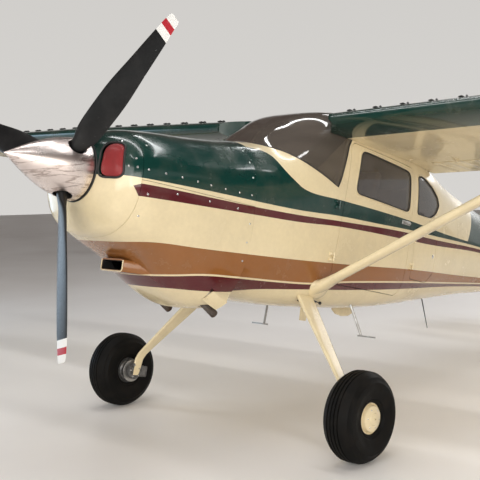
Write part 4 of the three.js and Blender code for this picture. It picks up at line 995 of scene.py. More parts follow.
lower = common(nose_shell, across_body(BOWL_BACK + SEAM, -SEAM, high=COWL_SPLIT - SEAM))
funnel = cut(scoop(0), common(nose_inner.copy(), block(-690, 690, BOWL_BACK, 10, -890, 890)))
pipe_hole = rod(EXHAUST["bend"], EXHAUST["end"], EXHAUST["radius"] + 13, None, 40)
flap_room = join(flap_zone(COWL_FLAP["gap"]), block(COWL_FLAP["inner"], COWL_FLAP["outer"], -60, 30, -900, -380))
lower = cut(join(lower, funnel), second(scoop(SCOOP["wall"])), pipe_hole, other_side(pipe_hole), flap_room,
            other_side(flap_room))
pin = rod((262, *flap_hinge.yz), (COWL_FLAP["inner"] - 1, *flap_hinge.yz), 5, None, 16)
keep("cowl_lower_shell", merged(lower, pin, other_side(pin)), (livery, dark_plastic), "airframe",
     ("cowl_lower",))
half, top, bottom = SCOOP["rings"][0]
lip_corners = ((-1, top - 8), (-1, bottom + 16), (-0.9, bottom + 4), (0.9, bottom + 4), (1, bottom + 16), (1, top - 8))
lip = [(side * (half - 1), SCOOP["mouth"] - 1, h) for side, h in lip_corners]
keep("scoop_lip", tube(lip, 4.5, False, 3), cream_smooth, "airframe")
upper = common(nose_shell, across_body(BOWL_BACK + SEAM, -SEAM, low=COWL_SPLIT + SEAM))
keep("cowl_upper_shell", upper, (livery, dark_plastic), "airframe", ("cowl_upper",))

# ---------------------------------------------------------------- cabin: shell, doors, glass
WINDSHIELD = [(96, 470), (330, 402), (560, 318), (768, 244), (792, 300), (868, 556), (926, 650), (935, 700),
              (935, 1000), (96, 1000)]
DOOR_CORNERS = [(792, -430), (1732, -430), (1752, 574), (905, 596)]
DOOR_RADIUS, DOOR_WINDOW_RADIUS, REAR_WINDOW_RADIUS, BAGGAGE_RADIUS = 56, 60, 26, 30
DOOR_GAP = 4
DOOR_WINDOW = [(973, 240), (1698, 222), (1688, 534), (1020, 560)]
REAR_WINDOW = [(1833, 233), (2078, 242), (2177, 291), (2240, 369), (2213, 431), (2106, 494), (1976, 534), (1900, 545),
               (1826, 530)]
BAGGAGE_DOOR = [(1836, -280), (2150, -280), (2240, -190), (2240, 118), (1836, 128)]


def grown(corners, amount):
    """An outline with each corner moved out by amount in both directions."""
    middle = sum((Vector(c) for c in corners), Vector((0, 0))) / len(corners)
    return [(a + math.copysign(amount, a - middle.x), b + math.copysign(amount, b - middle.y)) for a, b in corners]


def wall_slab(corners, radius):
    """An outline cut through the left wall of the cabin only."""
    return side_slab(corners, 200, 800, radius)


cabin_outer = hull(0, CABIN_END, 0, BODY_SECTIONS, 36)
cabin_inner = second(hull(14, CABIN_END - 14, CABIN_WALL, BODY_SECTIONS, 36))
cabin_walls = cut(cabin_outer, cabin_inner)
glass_layer = cut(hull(0, CABIN_END, GLASS_OUT, BODY_SECTIONS, 30),
                  hull(-5, CABIN_END + 5, GLASS_IN, BODY_SECTIONS, 30))


def pane(corners, radius):
    """Glazing that just fits inside an opening of the left wall."""
    return common(glass_layer.copy(), wall_slab(grown(corners, -0.4), radius))


doorway = wall_slab(grown(DOOR_CORNERS, DOOR_GAP), DOOR_RADIUS + 2)
rear_hole = wall_slab(REAR_WINDOW, REAR_WINDOW_RADIUS)
openings = [doorway, other_side(doorway), rear_hole, other_side(rear_hole),
            wall_slab(grown(BAGGAGE_DOOR, DOOR_GAP), BAGGAGE_RADIUS), side_slab(WINDSHIELD, -900, 900)]
keep("cabin_body", cut(cabin_walls.copy(), *openings), (livery, lining), "airframe", ("cabin_shell",))
keep("windshield_bubble", common(glass_layer.copy(), side_slab(grown(WINDSHIELD, -0.6), -900, 900)), screen_glass,
     "airframe", ("windshield",))
keep_pair("rear_window_pane", pane(REAR_WINDOW, REAR_WINDOW_RADIUS), side_glass, "rear_window")

DOORS = ("left_door", "right_door")
door_panel = cut(common(cabin_walls.copy(), wall_slab(DOOR_CORNERS, DOOR_RADIUS)),
                 wall_slab(DOOR_WINDOW, DOOR_WINDOW_RADIUS))
keep_pair("door_panel", door_panel, (livery, lining), "door", DOORS)
keep_pair("door_pane", pane(DOOR_WINDOW, DOOR_WINDOW_RADIUS), side_glass, "door_glass", DOORS)
hatch = common(cabin_walls.copy(), wall_slab(BAGGAGE_DOOR, BAGGAGE_RADIUS))
keep("baggage_panel", hatch, (livery, lining), "baggage_hatch", ("baggage_door",))

# ---------------------------------------------------------------- tailcone, wings and tail
DIHEDRAL = math.tan(math.radians(1.78))
# Wing rows: x, front edge, rise, chord, thickness as a share of the chord, incidence.
WING_SECTIONS = [
    (395, 590, 0, 1626, 0.12, 1.5), (2540, 590, 0, 1626, 0.12, 1.5), (5200, 704, 0, 1130, 0.12, -1.5),
    (5340, 738, 2, 1050, 0.11, -1.5), (5425, 800, 8, 880, 0.085, -1.5), (5460, 880, 14, 640, 0.05, -1.5),
]
WING_STATIONS = [395, 520, 650, 900, 1200, 1500, 1800, 2100, 2400, 2540, 2700, 3000, 3400, 3800, 4200, 4600, 5000, 5150]
TIP_STATIONS = [5200, 5250, 5300, 5340, 5375, 5405, 5425, 5440, 5452, 5460]
# The faces of a section below the green, which wraps round the front edge.
UNDERSIDE = range(38, 59)
WING_LEVEL = 674
RUNNING_GAP = 8
# Surfaces of the wing: inner and outer end, and the hinge's share of the chord.
SURFACES = {"flap": (650, 2600, 0.74), "aileron": (2680, 5120, 0.77)}
STABILIZER = {"level": 305, "half": 48.2, "front": 4850, "hinge": 5560}


def camber_line(t):
    """The height of the section's middle line at a share t of the chord, highest at 0.4."""
    side = 0.4 if t < 0.4 else 0.6
    return 0.02 * (0.8 * t - t * t + (0 if t < 0.4 else 0.2)) / side ** 2


def half_thickness(t, thickness):
    """Half of the section's thickness at a share t of the chord."""
    return 5 * thickness * (0.2969 * math.sqrt(t) - 0.126 * t - 0.3516 * t ** 2 + 0.2843 * t ** 3 - 0.1015 * t ** 4)


def section(chord, thickness, incidence=0.0, camber=1.0, steps=30):
    """Points of a wing section, over the top from the trailing edge and back along the bottom."""
    along = [(1 - math.cos(math.pi * k / steps)) / 2 for k in range(steps + 1)]
    points = [(t, camber * camber_line(t) + half_thickness(t, thickness) + 0.0012 * t) for t in reversed(along)]
    points += [(t, camber * camber_line(t) - half_thickness(t, thickness) - 0.0012 * t) for t in along[1:]]
    tilt = math.radians(incidence)
    return [Vector((chord * (t * math.cos(tilt) + z * math.sin(tilt)),
                    chord * (z * math.cos(tilt) - t * math.sin(tilt)))) for t, z in points]


def wing_place(x, y, z):
    """A place given from the wing's rising reference plane."""
    return Vector((x, y, WING_LEVEL + x * DIHEDRAL + z))


def wing_whole():
    """The left wing with its surfaces still in it; the second material is on its underside."""
    rows = [linear_row(WING_SECTIONS, x) for x in WING_STATIONS] + [row_at(WING_SECTIONS, x) for x in TIP_STATIONS]
    rings = [[wing_place(x, front + p.x, rise + p.y) for p in section(chord, thick, tilt)]
             for x, front, rise, chord, thick, tilt in rows]
    return loft(rings, lambda r, k: k in UNDERSIDE)


def hinge_at(x, place):
    """The wing's middle line at x and a share of the chord, and half the thickness there."""
    _, front, rise, chord, thickness, incidence = linear_row(WING_SECTIONS, x)
    tilt = math.radians(incidence)
    z = chord * camber_line(place)
    centre = wing_place(x, front + chord * place + z * math.sin(tilt), rise + z - chord * place * math.sin(tilt))
    return centre, chord * half_thickness(place, thickness)


def surface_zone(inner, outer, hinge, grow):
    """The room of a flap or aileron: a round nose along its hinge and all behind it."""
    (a, half_a), (b, half_b) = hinge_at(inner, hinge), hinge_at(outer, hinge)
    along = (b - a).normalized()
    start, end = a - along * grow, b + along * grow
    slim = 0 if grow else 1
    nose = rod(start, end, half_a + grow - slim, half_b + grow - slim, 48)
    behind = plan_slab([(start.x, start.y), (end.x, end.y), (end.x, 2500), (start.x, 2500)], 300, 1300)
    return second(join(behind, nose))


stabilizer_seat = block(-400, 400, STABILIZER["front"] - 12, 6000, STABILIZER["level"] - STABILIZER["half"] - 0.3, 700)
keep("tailcone_skin", cut(hull(CABIN_END + SEAM, TAIL_END, 0, BODY_SECTIONS, 60), stabilizer_seat), livery,
     "airframe", ("tailcone",))

wing = wing_whole()
root_fit = hull(0, CABIN_END, -1, BODY_SECTIONS, 36)
fixed = cut(wing.copy(), root_fit, *(surface_zone(*row, RUNNING_GAP) for row in SURFACES.values()))
ROOT_CORNER = [(200, 400), (556, 400), (556, 612), (432, 765), (200, 765)]
root_step = plan_slab(ROOT_CORNER, 400, 1000)
keep_pair("wing_skin", cut(fixed, root_step), (green, cream), "wing")
for stem, row in SURFACES.items():
    keep_pair(f"{stem}_skin", common(wing.copy(), surface_zone(*row, 0)), cream_beaded, stem,
              (f"left_{stem}", f"right_{stem}"))

STRUT = {"chord": 128, "thickness": 0.42, "low": Vector((455, 705, -517)), "wing_place": 0.235, "wing_rise": -0.036}
# Strut rows: share of its length, and scale of its chord.
STRUT_SHAPE = [(0, 1.3), (0.02, 1.35), (0.05, 1.36), (0.08, 1.12), (0.11, 1), (0.93, 1), (0.96, 1.15), (1, 1.05)]


def strut_axis():
    """From the strut's foot to the wing's underside, at the end of the wing's straight part."""
    x, front, _, chord, _, _ = WING_SECTIONS[1]
    return wing_place(x, front + STRUT["wing_place"] * chord, STRUT["wing_rise"] * chord) - STRUT["low"]


def strut():
    """A streamlined bar that swells into a fitting at each end."""
    axis = strut_axis()
    across = (Vector((0, 1, 0)) - axis * (axis.y / axis.length_squared)).normalized()
    thick = axis.normalized().cross(across)
    rings = []
    for share, scale in STRUT_SHAPE:
        chord = STRUT["chord"] * scale
        middle = STRUT["low"] + axis * share
        rings.append([middle + across * (p.x - chord * 0.4) + thick * p.y
                      for p in section(chord, STRUT["thickness"], 0, 0, 14)])
    return loft(rings)


lowered = wing.copy()
lowered.transform(Matrix.Translation((0, 0, -0.5)))
keep_pair("strut_fairing", cut(strut(), root_fit.copy(), lowered), cream_smooth, "strut")

# Fin rows: height, front, back and thickness. Plane rows have x for the height.
FIN_SECTIONS = [
    (40, 4100, 6300, 62), (300, 4100, 6308, 74), (372, 4420, 6306, 76), (450, 4720, 6302, 78), (560, 4905, 6292, 78),
    (900, 5085, 6252, 70), (1240, 5262, 6200, 58), (1340, 5330, 6178, 46), (1380, 5420, 6120, 22),
]
RUDDER = {"low_y": 5838, "high_y": 5900, "low": 70, "high": 1262, "horn": 5560}
PLANE_SECTIONS = [(0, 4850, 5982, 96), (1400, 5062, 5962, 80), (1560, 5110, 5948, 64), (1640, 5180, 5910, 40),
                  (1672, 5280, 5840, 18)]


def even_section(front, back, thick):
    """A section without camber, from its front and back to its thickness."""
    return section(back - front, thick / (back - front), 0, 0, 24)


fin_rows = [linear_row(FIN_SECTIONS, h) for h in (40, 200, 300)]
fin_rows += [row_at(FIN_SECTIONS, h) for h in range(320, 1381, 20)]
fin_whole = loft([[Vector((p.y, front + p.x, h)) for p in even_section(front, back, thick)]
                  for h, front, back, thick in fin_rows])
PLANE_TIP = (1400, 1440, 1480, 1520, 1560, 1600, 1625, 1640, 1655, 1665, 1672)
plane_rows = [linear_row(PLANE_SECTIONS, x) for x in (0, 350, 700, 1050, 1380)]
plane_rows += [row_at(PLANE_SECTIONS, x) for x in PLANE_TIP]
plane_left = loft([[Vector((x, front + p.x, STABILIZER["level"] + p.y)) for p in even_section(front, back, thick)]
                   for x, front, back, thick in plane_rows])


def rudder_zone(grow):
    """The room of the rudder: a nose that tapers up its hinge, all behind it, and the horn on top."""
    low, high = RUDDER["low"] - grow, RUDDER["high"]
    slope = (RUDDER["high_y"] - RUDDER["low_y"]) / (high - RUDDER["low"])
    nose = rod((0, RUDDER["low_y"], low), (0, RUDDER["high_y"], high + 30), 27 + grow, 21 + grow, 40)
    behind = side_slab([(RUDDER["low_y"] - grow * slope, low), (6500, low), (6500, 1500), (RUDDER["horn"] - grow, 1500),
                        (RUDDER["horn"] - grow, high - grow), (RUDDER["high_y"], high - grow)], -200, 200)
    return join(behind, nose)


def elevator_zone(grow):
    """The room of the left elevator: its nose, all behind it, and the horn at the tip."""
    hinge, level = STABILIZER["hinge"], STABILIZER["level"]
    nose = rod((0, hinge, level), (1700, hinge, level), 34 + grow, 27 + grow, 40)
    behind = plan_slab([(0, hinge), (1700, hinge), (1700, 6200), (0, 6200)], 100, 500)
    horn = plan_slab([(1500 - grow, 4900), (1800, 4900), (1800, 6200), (1500 - grow, 6200)], 100, 500)
    return join(behind, nose, horn)


tail_seat = hull(CABIN_END, TAIL_END, -0.5, BODY_SECTIONS, 60)
foot = block(-100, 100, STABILIZER["front"] - 12, 6500, 0, STABILIZER["level"] + STABILIZER["half"] + 0.5)
keep("fin_skin", cut(fin_whole.copy(), rudder_zone(RUNNING_GAP), tail_seat, foot, block(-90, 90, 3000, 6500, 0, 240)),
     green, "airframe", ("fin",))
keep("rudder_skin", common(fin_whole.copy(), rudder_zone(0)), cream_beaded_up, "rudder_body",
     ("rudder",))
# The stabilizer stops short of the rudder, which swings through its middle.
RUDDER_ROOM = {"half": 64, "front": 5812}
gap_left = elevator_zone(RUNNING_GAP)
rudder_sweep = block(-RUDDER_ROOM["half"], RUDDER_ROOM["half"], RUDDER_ROOM["front"], 6500, 200, 420)
stabilizer_half = cut(plane_left.copy(), gap_left, rudder_sweep)
keep("stabilizer_skin", join(stabilizer_half, other_side(stabilizer_half)), cream, "airframe",
     ("stabilizer",))
rudder_room = plan_slab([(-10, 5480), (165, 5480), (165, 5600), (235, 6100), (-10, 6100)], 100, 500)
elevator_half = cut(common(plane_left.copy(), elevator_zone(0)), rudder_room)
hinge_line = (STABILIZER["hinge"], STABILIZER["level"])
torque_tube = rod((-180, *hinge_line), (180, *hinge_line), 22)
keep("elevator_skin", merged(elevator_half, other_side(elevator_half), torque_tube), cream_beaded, "elevator_body",
     ("elevator",))

# ---------------------------------------------------------------- landing gear
def on_floor(y, above):
    """The height in the airframe of something at y that is this far above the floor."""
    return (above - 1000 * SHIFT_UP + y * math.sin(NOSE_UP)) / math.cos(NOSE_UP)


MAIN_WHEEL = {"out": 1164, "station": 470, "radius": 284, "width": 216, "rim": 98, "bore": 18.8}
TAIL_WHEEL = {"station": 5600, "radius": 128, "width": 78, "rim": 60, "hub_width": 62, "bore": 9.6}
AXLE = Vector((MAIN_WHEEL["out"], MAIN_WHEEL["station"], on_floor(MAIN_WHEEL["station"], MAIN_WHEEL["radius"])))
TAIL_AXLE = Vector((0, TAIL_WHEEL["station"], on_floor(TAIL_WHEEL["station"], TAIL_WHEEL["radius"])))
# Leg rows: x, y, z, width and thickness.
LEG_ROWS = [
    (400, 660, -475, 160, 27), (536, 627, -620, 148, 26), (704, 587, -800, 122, 25), (844, 553, -950, 100, 23),
    (948, 529, -1062, 84, 22), (996, 516, -1118, 78, 21), (1010, 503, -1160, 74, 20), (1012, 478, -1300, 70, 20),
]


def gear_leaf():
    """The flat sprung leg, square to its own path."""
    path = [Vector(row[:3]) for row in LEG_ROWS]
    rings = []
    for r, (_, _, _, width, thick) in enumerate(LEG_ROWS):
        ahead = (path[min(r + 1, len(path) - 1)] - path[max(r - 1, 0)]).normalized()
        up = ahead.cross(Vector((0, 1, 0)))
        rings.append([path[r] + Vector((0, p.x, 0)) + up * p.y for p in softened(oblong(width, thick), 9, 4)])
    return loft(rings)


keep_pair("gear_leg_leaf", cut(gear_leaf(), root_fit.copy()), cream_smooth, "gear_leg")
# Blocks of the caliper: x from and to, distance aft of the axle from and to, half height, bevel.
CALIPER = [(1012, 1030, 58, 132, 42, 5), (1050, 1068, 58, 132, 42, 5), (1014, 1066, 94, 128, 38, 4),
           (1010, 1026, -10, 80, 30, 4)]
brake = merged(
    rod((1002, *AXLE.yz), (1026, *AXLE.yz), 62, None, 40), rod((1015, *AXLE.yz), (AXLE.x + 96, *AXLE.yz), 18),
    *(block(x0, x1, AXLE.y + near, AXLE.y + far, AXLE.z - half, AXLE.z + half, bevel)
      for x0, x1, near, far, half, bevel in CALIPER))
keep_pair("brake_caliper", brake, brake_steel)
bolts = [(Vector((1001, AXLE.y + 46 * math.cos(a), AXLE.z + 46 * math.sin(a))), (-1, 0, 0))
         for a in (0.5, 1.75, 3.0, 4.3, 5.5)]
keep_pair("axle_bolts", studs(bolts, 8, 9, 6), bright_steel)


def tyre(centre, radius, width, rim, grooves):
    """A tyre with a rounded shoulder, tread grooves, a moulding line and beads at the rim."""
    half = width / 2
    shoulder = [(rim, 0.70), (rim + 4, 0.76), (rim + 16, 0.80), (rim + 22, 0.79), (rim + 30, 0.86),
                ((rim + radius) * 0.46, 0.96), ((rim + radius) / 2, 1.0), (radius * 0.78, 0.99),
                (radius - half * 0.5, 0.93), (radius - half * 0.34, 0.84), (radius - half * 0.30, 0.83),
                (radius - half * 0.16, 0.66), (radius - half * 0.07, 0.5)]
    tread = []
    for place in grooves:
        deep, crown = 7.0, radius - half * 0.16 * place ** 2
        tread += [(crown, place + 0.045), (crown - deep, place + 0.03), (crown - deep, place - 0.03),
                  (crown, place - 0.045)]
    right = [(r, p * half) for r, p in shoulder + tread]
    left = [(r, -d) for r, d in reversed(right)]
    return lathe(right + left, centre, "x", 96)


def hub(centre, rim, width, bore):
    """A wheel centre with a domed outer cap and an open bore behind it."""
    half = width / 2
    profile = [
        (bore, -half * 0.70), (rim * 0.65, -half * 0.70), (rim * 0.76, -half * 0.62),
        (rim - 0.5, -half * 0.72), (rim - 0.5, -half * 0.62), (rim - 0.5, half * 0.64),
        (rim - 2, half * 0.72), (rim - 6, half * 0.74), (rim * 0.9, half * 0.70),
        (rim * 0.86, half * 0.66), (rim * 0.84, half * 0.80), (rim * 0.80, half * 0.88),
        (rim * 0.72, half * 0.91), (rim * 0.5, half * 0.955), (rim * 0.4, half * 0.97),
        (rim * 0.36, half * 1.02), (rim * 0.2, half * 1.05), (bore * 0.3, half * 1.06),
        (bore * 0.3, half * 0.9), (bore, half * 0.85),
    ]
    return lathe(profile, centre, "x", 72)


WHEELS = ("left_wheel", "right_wheel")
main_tyre = tyre(AXLE, MAIN_WHEEL["radius"], MAIN_WHEEL["width"], MAIN_WHEEL["rim"], (0.36, 0.12))
keep_pair("tyre_tread", main_tyre, tyre_rubber, "tyre", WHEELS, 24)
wheel_mesh = hub(AXLE, MAIN_WHEEL["rim"], MAIN_WHEEL["width"], MAIN_WHEEL["bore"])
for face in wheel_mesh.polygons:
    face.material_index = int(face.center.x < AXLE.x)
keep_pair("wheel_cap", wheel_mesh, (cream_smooth, brake_steel), "wheel", WHEELS)
disc = lathe([(19, -126), (84, -126), (85, -125), (85, -121), (84, -120), (46, -118), (46, -72), (19, -72)], AXLE,
             "x", 64)
keep_pair("brake_disc", disc, steel, None, WHEELS)
screw_out, screw_circle = MAIN_WHEEL["width"] / 2 * 0.935, MAIN_WHEEL["rim"] * 0.6
cap_screws = [(AXLE + Vector((screw_out, screw_circle * math.cos(a), screw_circle * math.sin(a))), (1, 0, 0))
              for a in (k * math.pi / 3 for k in range(6))]
keep_pair("cap_screws", studs(cap_screws, 4.5, 4, 10), bright_steel, None, WHEELS)

tail_tyre = tyre(TAIL_AXLE, TAIL_WHEEL["radius"], TAIL_WHEEL["width"], TAIL_WHEEL["rim"], (0.3,))
keep("tail_tyre_tread", tail_tyre, tyre_rubber, "tail_wheel", ("tailwheel_tyre",), 24)
tail_hub = hub(TAIL_AXLE, TAIL_WHEEL["rim"], TAIL_WHEEL["hub_width"], TAIL_WHEEL["bore"])
keep("tail_hub_cap", tail_hub, steel, "tail_wheel", ("tailwheel_hub",))


def leaf(rows, drop):
    """One flat spring leaf along rows of y, z, width and thickness."""
    rings = []
    for y, z, width, thick in rows:
        rings.append([Vector((p.x, y, z + p.y - drop)) for p in softened(oblong(width, thick), 3, 3)])
    return loft(rings)


# Spring rows: y, z, width and thickness.
SPRING_ROWS = [(5050, 10, 60, 12), (5130, -8, 59, 12), (5200, -32, 58, 12), (5290, -68, 56, 11), (5380, -110, 54, 11),
               (5500, -172, 50, 10), (5560, -205, 50, 10)]
leaves = [leaf(SPRING_ROWS, -8), leaf(SPRING_ROWS[:6], 3.5), leaf(SPRING_ROWS[:4], 13)]
head = rod((0, 5546.7, -222), (0, 5553, -168), 34, None, 40)
clamp = block(-36, 36, 5370, 5392, -136, -84, 3)
keep("tail_spring_leaves", merged(*(cut(m, tail_seat.copy()) for m in leaves), head, clamp), steel, "airframe",
     ("tailwheel_spring",))
crown = plan_slab([(-62, 5505), (62, 5505), (62, 5645), (-62, 5645)], -262, -240, 30)
fork_arm = side_slab([(5530, -246), (5640, -246), (TAIL_AXLE.y + 26, TAIL_AXLE.z - 24),
                      (TAIL_AXLE.y - 26, TAIL_AXLE.z - 24)], 50, 60, 10)
fork_pin = rod((-60, *TAIL_AXLE.yz), (60, *TAIL_AXLE.yz), 9)
fork_nuts = studs([(Vector((side * 61, *TAIL_AXLE.yz)), (side, 0, 0)) for side in (1, -1)], 13, 9, 6)
fork = merged(crown, rod((0, 5542, -262), (0, 5546.6, -222.6), 32, None, 40), fork_arm, other_side(fork_arm),
              fork_pin, fork_nuts)
keep("tail_fork_arms", fork, steel, "tail_fork", ("tailwheel_fork",))

# ---------------------------------------------------------------- cabin fittings
def pad(corners, inner, outer, seams=(), crown=9, pull=24, dip=7):
    """A stuffed pad: crowned faces, ends that pull in, and a dip along each sewn seam."""
    middle = sum((Vector(c) for c in corners), Vector((0, 0))) / len(corners)
    line = []
    for start, end in zip(map(Vector, corners), map(Vector, corners[1:] + corners[:1])):
        out = Vector((end.y - start.y, start.x - end.x)).normalized()
        out *= math.copysign(1, out.dot((start + end) / 2 - middle))
        line += [start.lerp(end, k / 12) + out * crown * k * (12 - k) / 36 for k in range(12)]
    for _ in range(3):
        line = [(line[k - 1] + 2 * p + line[(k + 1) % len(line)]) / 4 for k, p in enumerate(line)]
    outs = []
    for k, p in enumerate(line):
        ahead = line[(k + 1) % len(line)] - line[k - 1]
        out = Vector((ahead.y, -ahead.x)).normalized()
        outs.append(out * math.copysign(1, out.dot(p - middle)))
    rings = []
    count = round((outer - inner) / 8)
    for k in range(count + 1):
        x = inner + (outer - inner) * k / count
        edge = min(1, min(x - inner, outer - x) / pull)
        sewn = sum(dip * math.exp(-((x - seam) / 7) ** 2) for seam in seams)
        shrink = pull * (1 - math.sqrt(1 - (1 - edge) ** 2)) + sewn
        rings.append([Vector((x, p.x - o.x * shrink, p.y - o.y * shrink)) for p, o in zip(line, outs)])
    return loft(rings)


RAIL_LEVEL, FLOOR_LEVEL = -372, -384


def seat_pads(inner, outer, front, low, seams):
    """The cushion and the back of a seat that stands at front and low."""
    cushion = [(front + 8, low + 14), (front + 456, low - 6), (front + 456, low + 84), (front + 8, low + 106)]
    back = [(front + 412, low + 122), (front + 490, low + 104), (front + 624, low + 626), (front + 552, low + 644)]
    return pad(cushion, inner, outer, seams), pad(back, inner + 6, outer - 6, seams)


def seat_frame(inner, outer, front, low):
    """Rails, rods under the cushion and legs to the floor, on both sides of a seat."""
    rods = []
    for x in (inner + 66, outer - 66):
        rods += [rod((x, front + 50, RAIL_LEVEL), (x, front + 420, RAIL_LEVEL), 10),
                 rod((x, front + 60, low + 8), (x, front + 420, low - 8), 9)]
        rods += [rod((x, front + s, FLOOR_LEVEL), (x, front + s, low + 8), 9) for s in (70, 400)]
    return merged(*rods)


# Seats: inner and outer side, front, and the height they stand at.
FRONT_SEAT = (40, 470, 790, -170)
REAR_BENCH = (-430, 430, 1370, -190)
cushion, back = seat_pads(*FRONT_SEAT, seams=(150, 255, 360))
for piece in (keep_pair("front_seat_cushion", cushion, hide, "front_seat", angle=60)
              + keep_pair("front_seat_back", back, hide, angle=60)):
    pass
keep_pair("front_seat_frame", seat_frame(*FRONT_SEAT), brake_steel)
cushion, back = seat_pads(*REAR_BENCH, seams=(-300, -200, -100, 0, 100, 200, 300))
keep("rear_bench_cushion", cushion, hide, "airframe", ("rear_bench",), 60)
keep("rear_bench_back", back, hide, "airframe", angle=60)
keep("rear_bench_frame", seat_frame(*REAR_BENCH), brake_steel, "airframe")

PANEL = {"station": 500, "foot": -60, "height": 400, "lean": 70}
PANEL_AFT = Vector((0, PANEL["height"], PANEL["lean"])).normalized()
# Dials: x, z and radius.
DIALS = [(170, 236, 37), (255, 240, 37), (340, 236, 37), (170, 150, 37), (255, 152, 37), (340, 150, 37),
         (78, 240, 27), (78, 176, 27), (-140, 236, 30), (-220, 236, 30), (-300, 230, 30), (-140, 160, 24),
         (-205, 160, 24)]
RADIOS = {"count": 5, "low": -10, "pitch": 38, "height": 33}


def on_panel(x, h, lift=0.0):
    """A place on the leaning instrument panel, lifted off it towards the seats."""
    ahead = PANEL["lean"] * (h - PANEL["foot"]) / PANEL["height"]
    return Vector((x, PANEL["station"] - ahead, h)) + PANEL_AFT * lift


bezels, faces, marks = [], [], []
for k, (x, h, r) in enumerate(DIALS):
    bezels += [rod(on_panel(x, h, -3), on_panel(x, h, 6), r, r - 3, 40)]
    faces.append(rod(on_panel(x, h, 4), on_panel(x, h, 6.6), r - 6, None, 40))
    sweep = Vector((math.cos(k * 1.7), 0, math.sin(k * 1.7)))
    marks.append(rod(on_panel(x, h, 8), on_panel(x, h, 8) + sweep * (r - 12), 1.5, 0.5, 6))
    ticks = [on_panel(x + (r - 10) * math.cos(a), h + (r - 10) * math.sin(a), 7)
             for a in (j * math.pi / 6 for j in range(12))]
    marks.append(studs([(p, PANEL_AFT) for p in ticks], 1.5, 1.2, 6))
for k in range(RADIOS["count"]):
    h = RADIOS["low"] + RADIOS["pitch"] * k
    face = on_panel(-32, h, 0)
    bezels.append(block(-92, 28, face.y - 30, face.y + 7, h, h + RADIOS["height"], 3))
    marks.append(studs([(Vector((x, face.y + 9, h + 16)), (0, 1, 0)) for x in (-80, 16)], 5, 8, 12))
for x in (-20, 20, 60):
    bezels.append(rod(on_panel(x, -30, -2), on_panel(x, -30, 34), 4, None, 12))
    bezels.append(rod(on_panel(x, -30, 30), on_panel(x, -30, 44), 13, 9, 20))
keep("dial_bezels", merged(*bezels), dark_plastic, "airframe")
keep("dial_faces", merged(*faces), dial_face, "airframe")
keep("dial_marks", merged(*marks), dial_mark, "airframe")

grip = [(-130, 85), (-124, 40), (-108, -28), (-66, -48), (0, -51), (66, -48), (108, -28), (124, 40), (130, 85)]
wheel_hub = block(228, 282, 630, 650, 134, 214, 8)
yoke = merged(rod((255, 459, 190), (255, 634, 190), 11),
              tube([Vector((255 + a, 640, 190 + b)) for a, b in grip], 12, False, 4), wheel_hub)
keep_pair("control_wheel", yoke, dark_plastic, "control_yoke")

BOTH = ("airframe", "airframe")
for stem, corners, radius, riders in (("door_window", DOOR_WINDOW, DOOR_WINDOW_RADIUS, DOORS),
                                      ("rear_window", REAR_WINDOW, REAR_WINDOW_RADIUS, BOTH)):
    keep_pair(f"{stem}_seal", tube(along_side(corners, radius, 0), 5, True), black_trim, None, riders)
    keep_pair(f"{stem}_lip", tube(along_side(grown(corners, 15), radius + 10, -1.5), 5.5, True), cream_smooth,
              None, riders)
post_line = [(200, 440), *WINDSHIELD[1:8]]
keep_pair("windshield_seal", tube(along_side(post_line, 0, 0, False), 5), black_trim)

pull = merged(block(552, 560, 1596, 1706, 116, 148, 3), rod((572, 1612, 132), (572, 1694, 130), 5.5, 4, 16),
              rod((556, 1690, 130), (572, 1690, 130), 8, 6, 16), rod((556, 1616, 132), (571, 1616, 132), 4, None, 12))
keep_pair("door_handle", pull, steel, None, DOORS)


def knuckles(x, s, heights, fixed):
    """One side of each hinge: its leaf on the skin and its share of the barrel."""
    shares = ((-30, -11), (11, 30)) if fixed else ((-10, 10),)
    front, back, probe = (-34, -3, -20) if fixed else (6, 36, 20)
    made = []
    for h in heights:
        skin = skin_x(s + probe, h)
        for low, high in shares:
            made.append(rod((x, s, h + low), (x, s, h + high), 6, None, 16))
            made.append(block(skin - 3, x - 2, s + front, s + back, h + low, h + high, 2))
    return merged(*made)


# Hinges: x and y of the pin, and the heights of its knuckles.
DOOR_HINGE = (574, 786, (-250, 120))
BAGGAGE_HINGE = (542, 1832, (-190, 30))
keep_pair("door_hinge_fixed", knuckles(*DOOR_HINGE, True), livery)
keep_pair("door_hinge_moving", knuckles(*DOOR_HINGE, False), livery, None, DOORS)
keep("baggage_hinge_fixed", knuckles(*BAGGAGE_HINGE, True), livery, "airframe")
keep("baggage_hinge_moving", knuckles(*BAGGAGE_HINGE, False), livery, "baggage_hatch")
keep("baggage_latch", studs([on_side(2196, -60, 0)], 17, 5, 28), bright_steel, "baggage_hatch")

# ---------------------------------------------------------------- small fittings outside
COWL_FASTENERS = [
    (-929, 85), (-965, 33), (-923, 34), (-857, 32), (-958, 184), (-849, 179), (-739, 32), (-618, 34), (-497, 31),
    (-388, 30), (-270, 30), (-150, 30), (-40, 34), (-386, -69), (-150, -71), (-640, -72), (-840, -110), (-850, -240),
    (-30, -150), (-30, -270), (-30, -390), (-30, 150), (-30, 250), (-30, 330), (-840, 240),
]
VANES = {"pairs": 21, "first": 640, "pitch": 218, "apart": 20, "chord_share": 0.075, "toe": 0.3}
# Fittings of the wing: x and a share of the chord.
FUEL_CAP, TIE_DOWN, PITOT_MAST = (900, 0.32), (2480, 0.3), (3300, 0.24)
BRACKETS = {"flap": (900, 1650, 2400), "aileron": (2900, 3900, 4900)}
TIE_DOWN_RADIUS = 17
TIP_LAMP = {"out": 5440, "station": 830, "rise": 14}
WHIP = {"station": 2080, "out": 150, "rake": Vector((0, 130, 330))}
keep_pair("cowl_fasteners", studs([on_side(s, h, 0) for s, h in COWL_FASTENERS], 7, 2.6, 14), bright_steel)


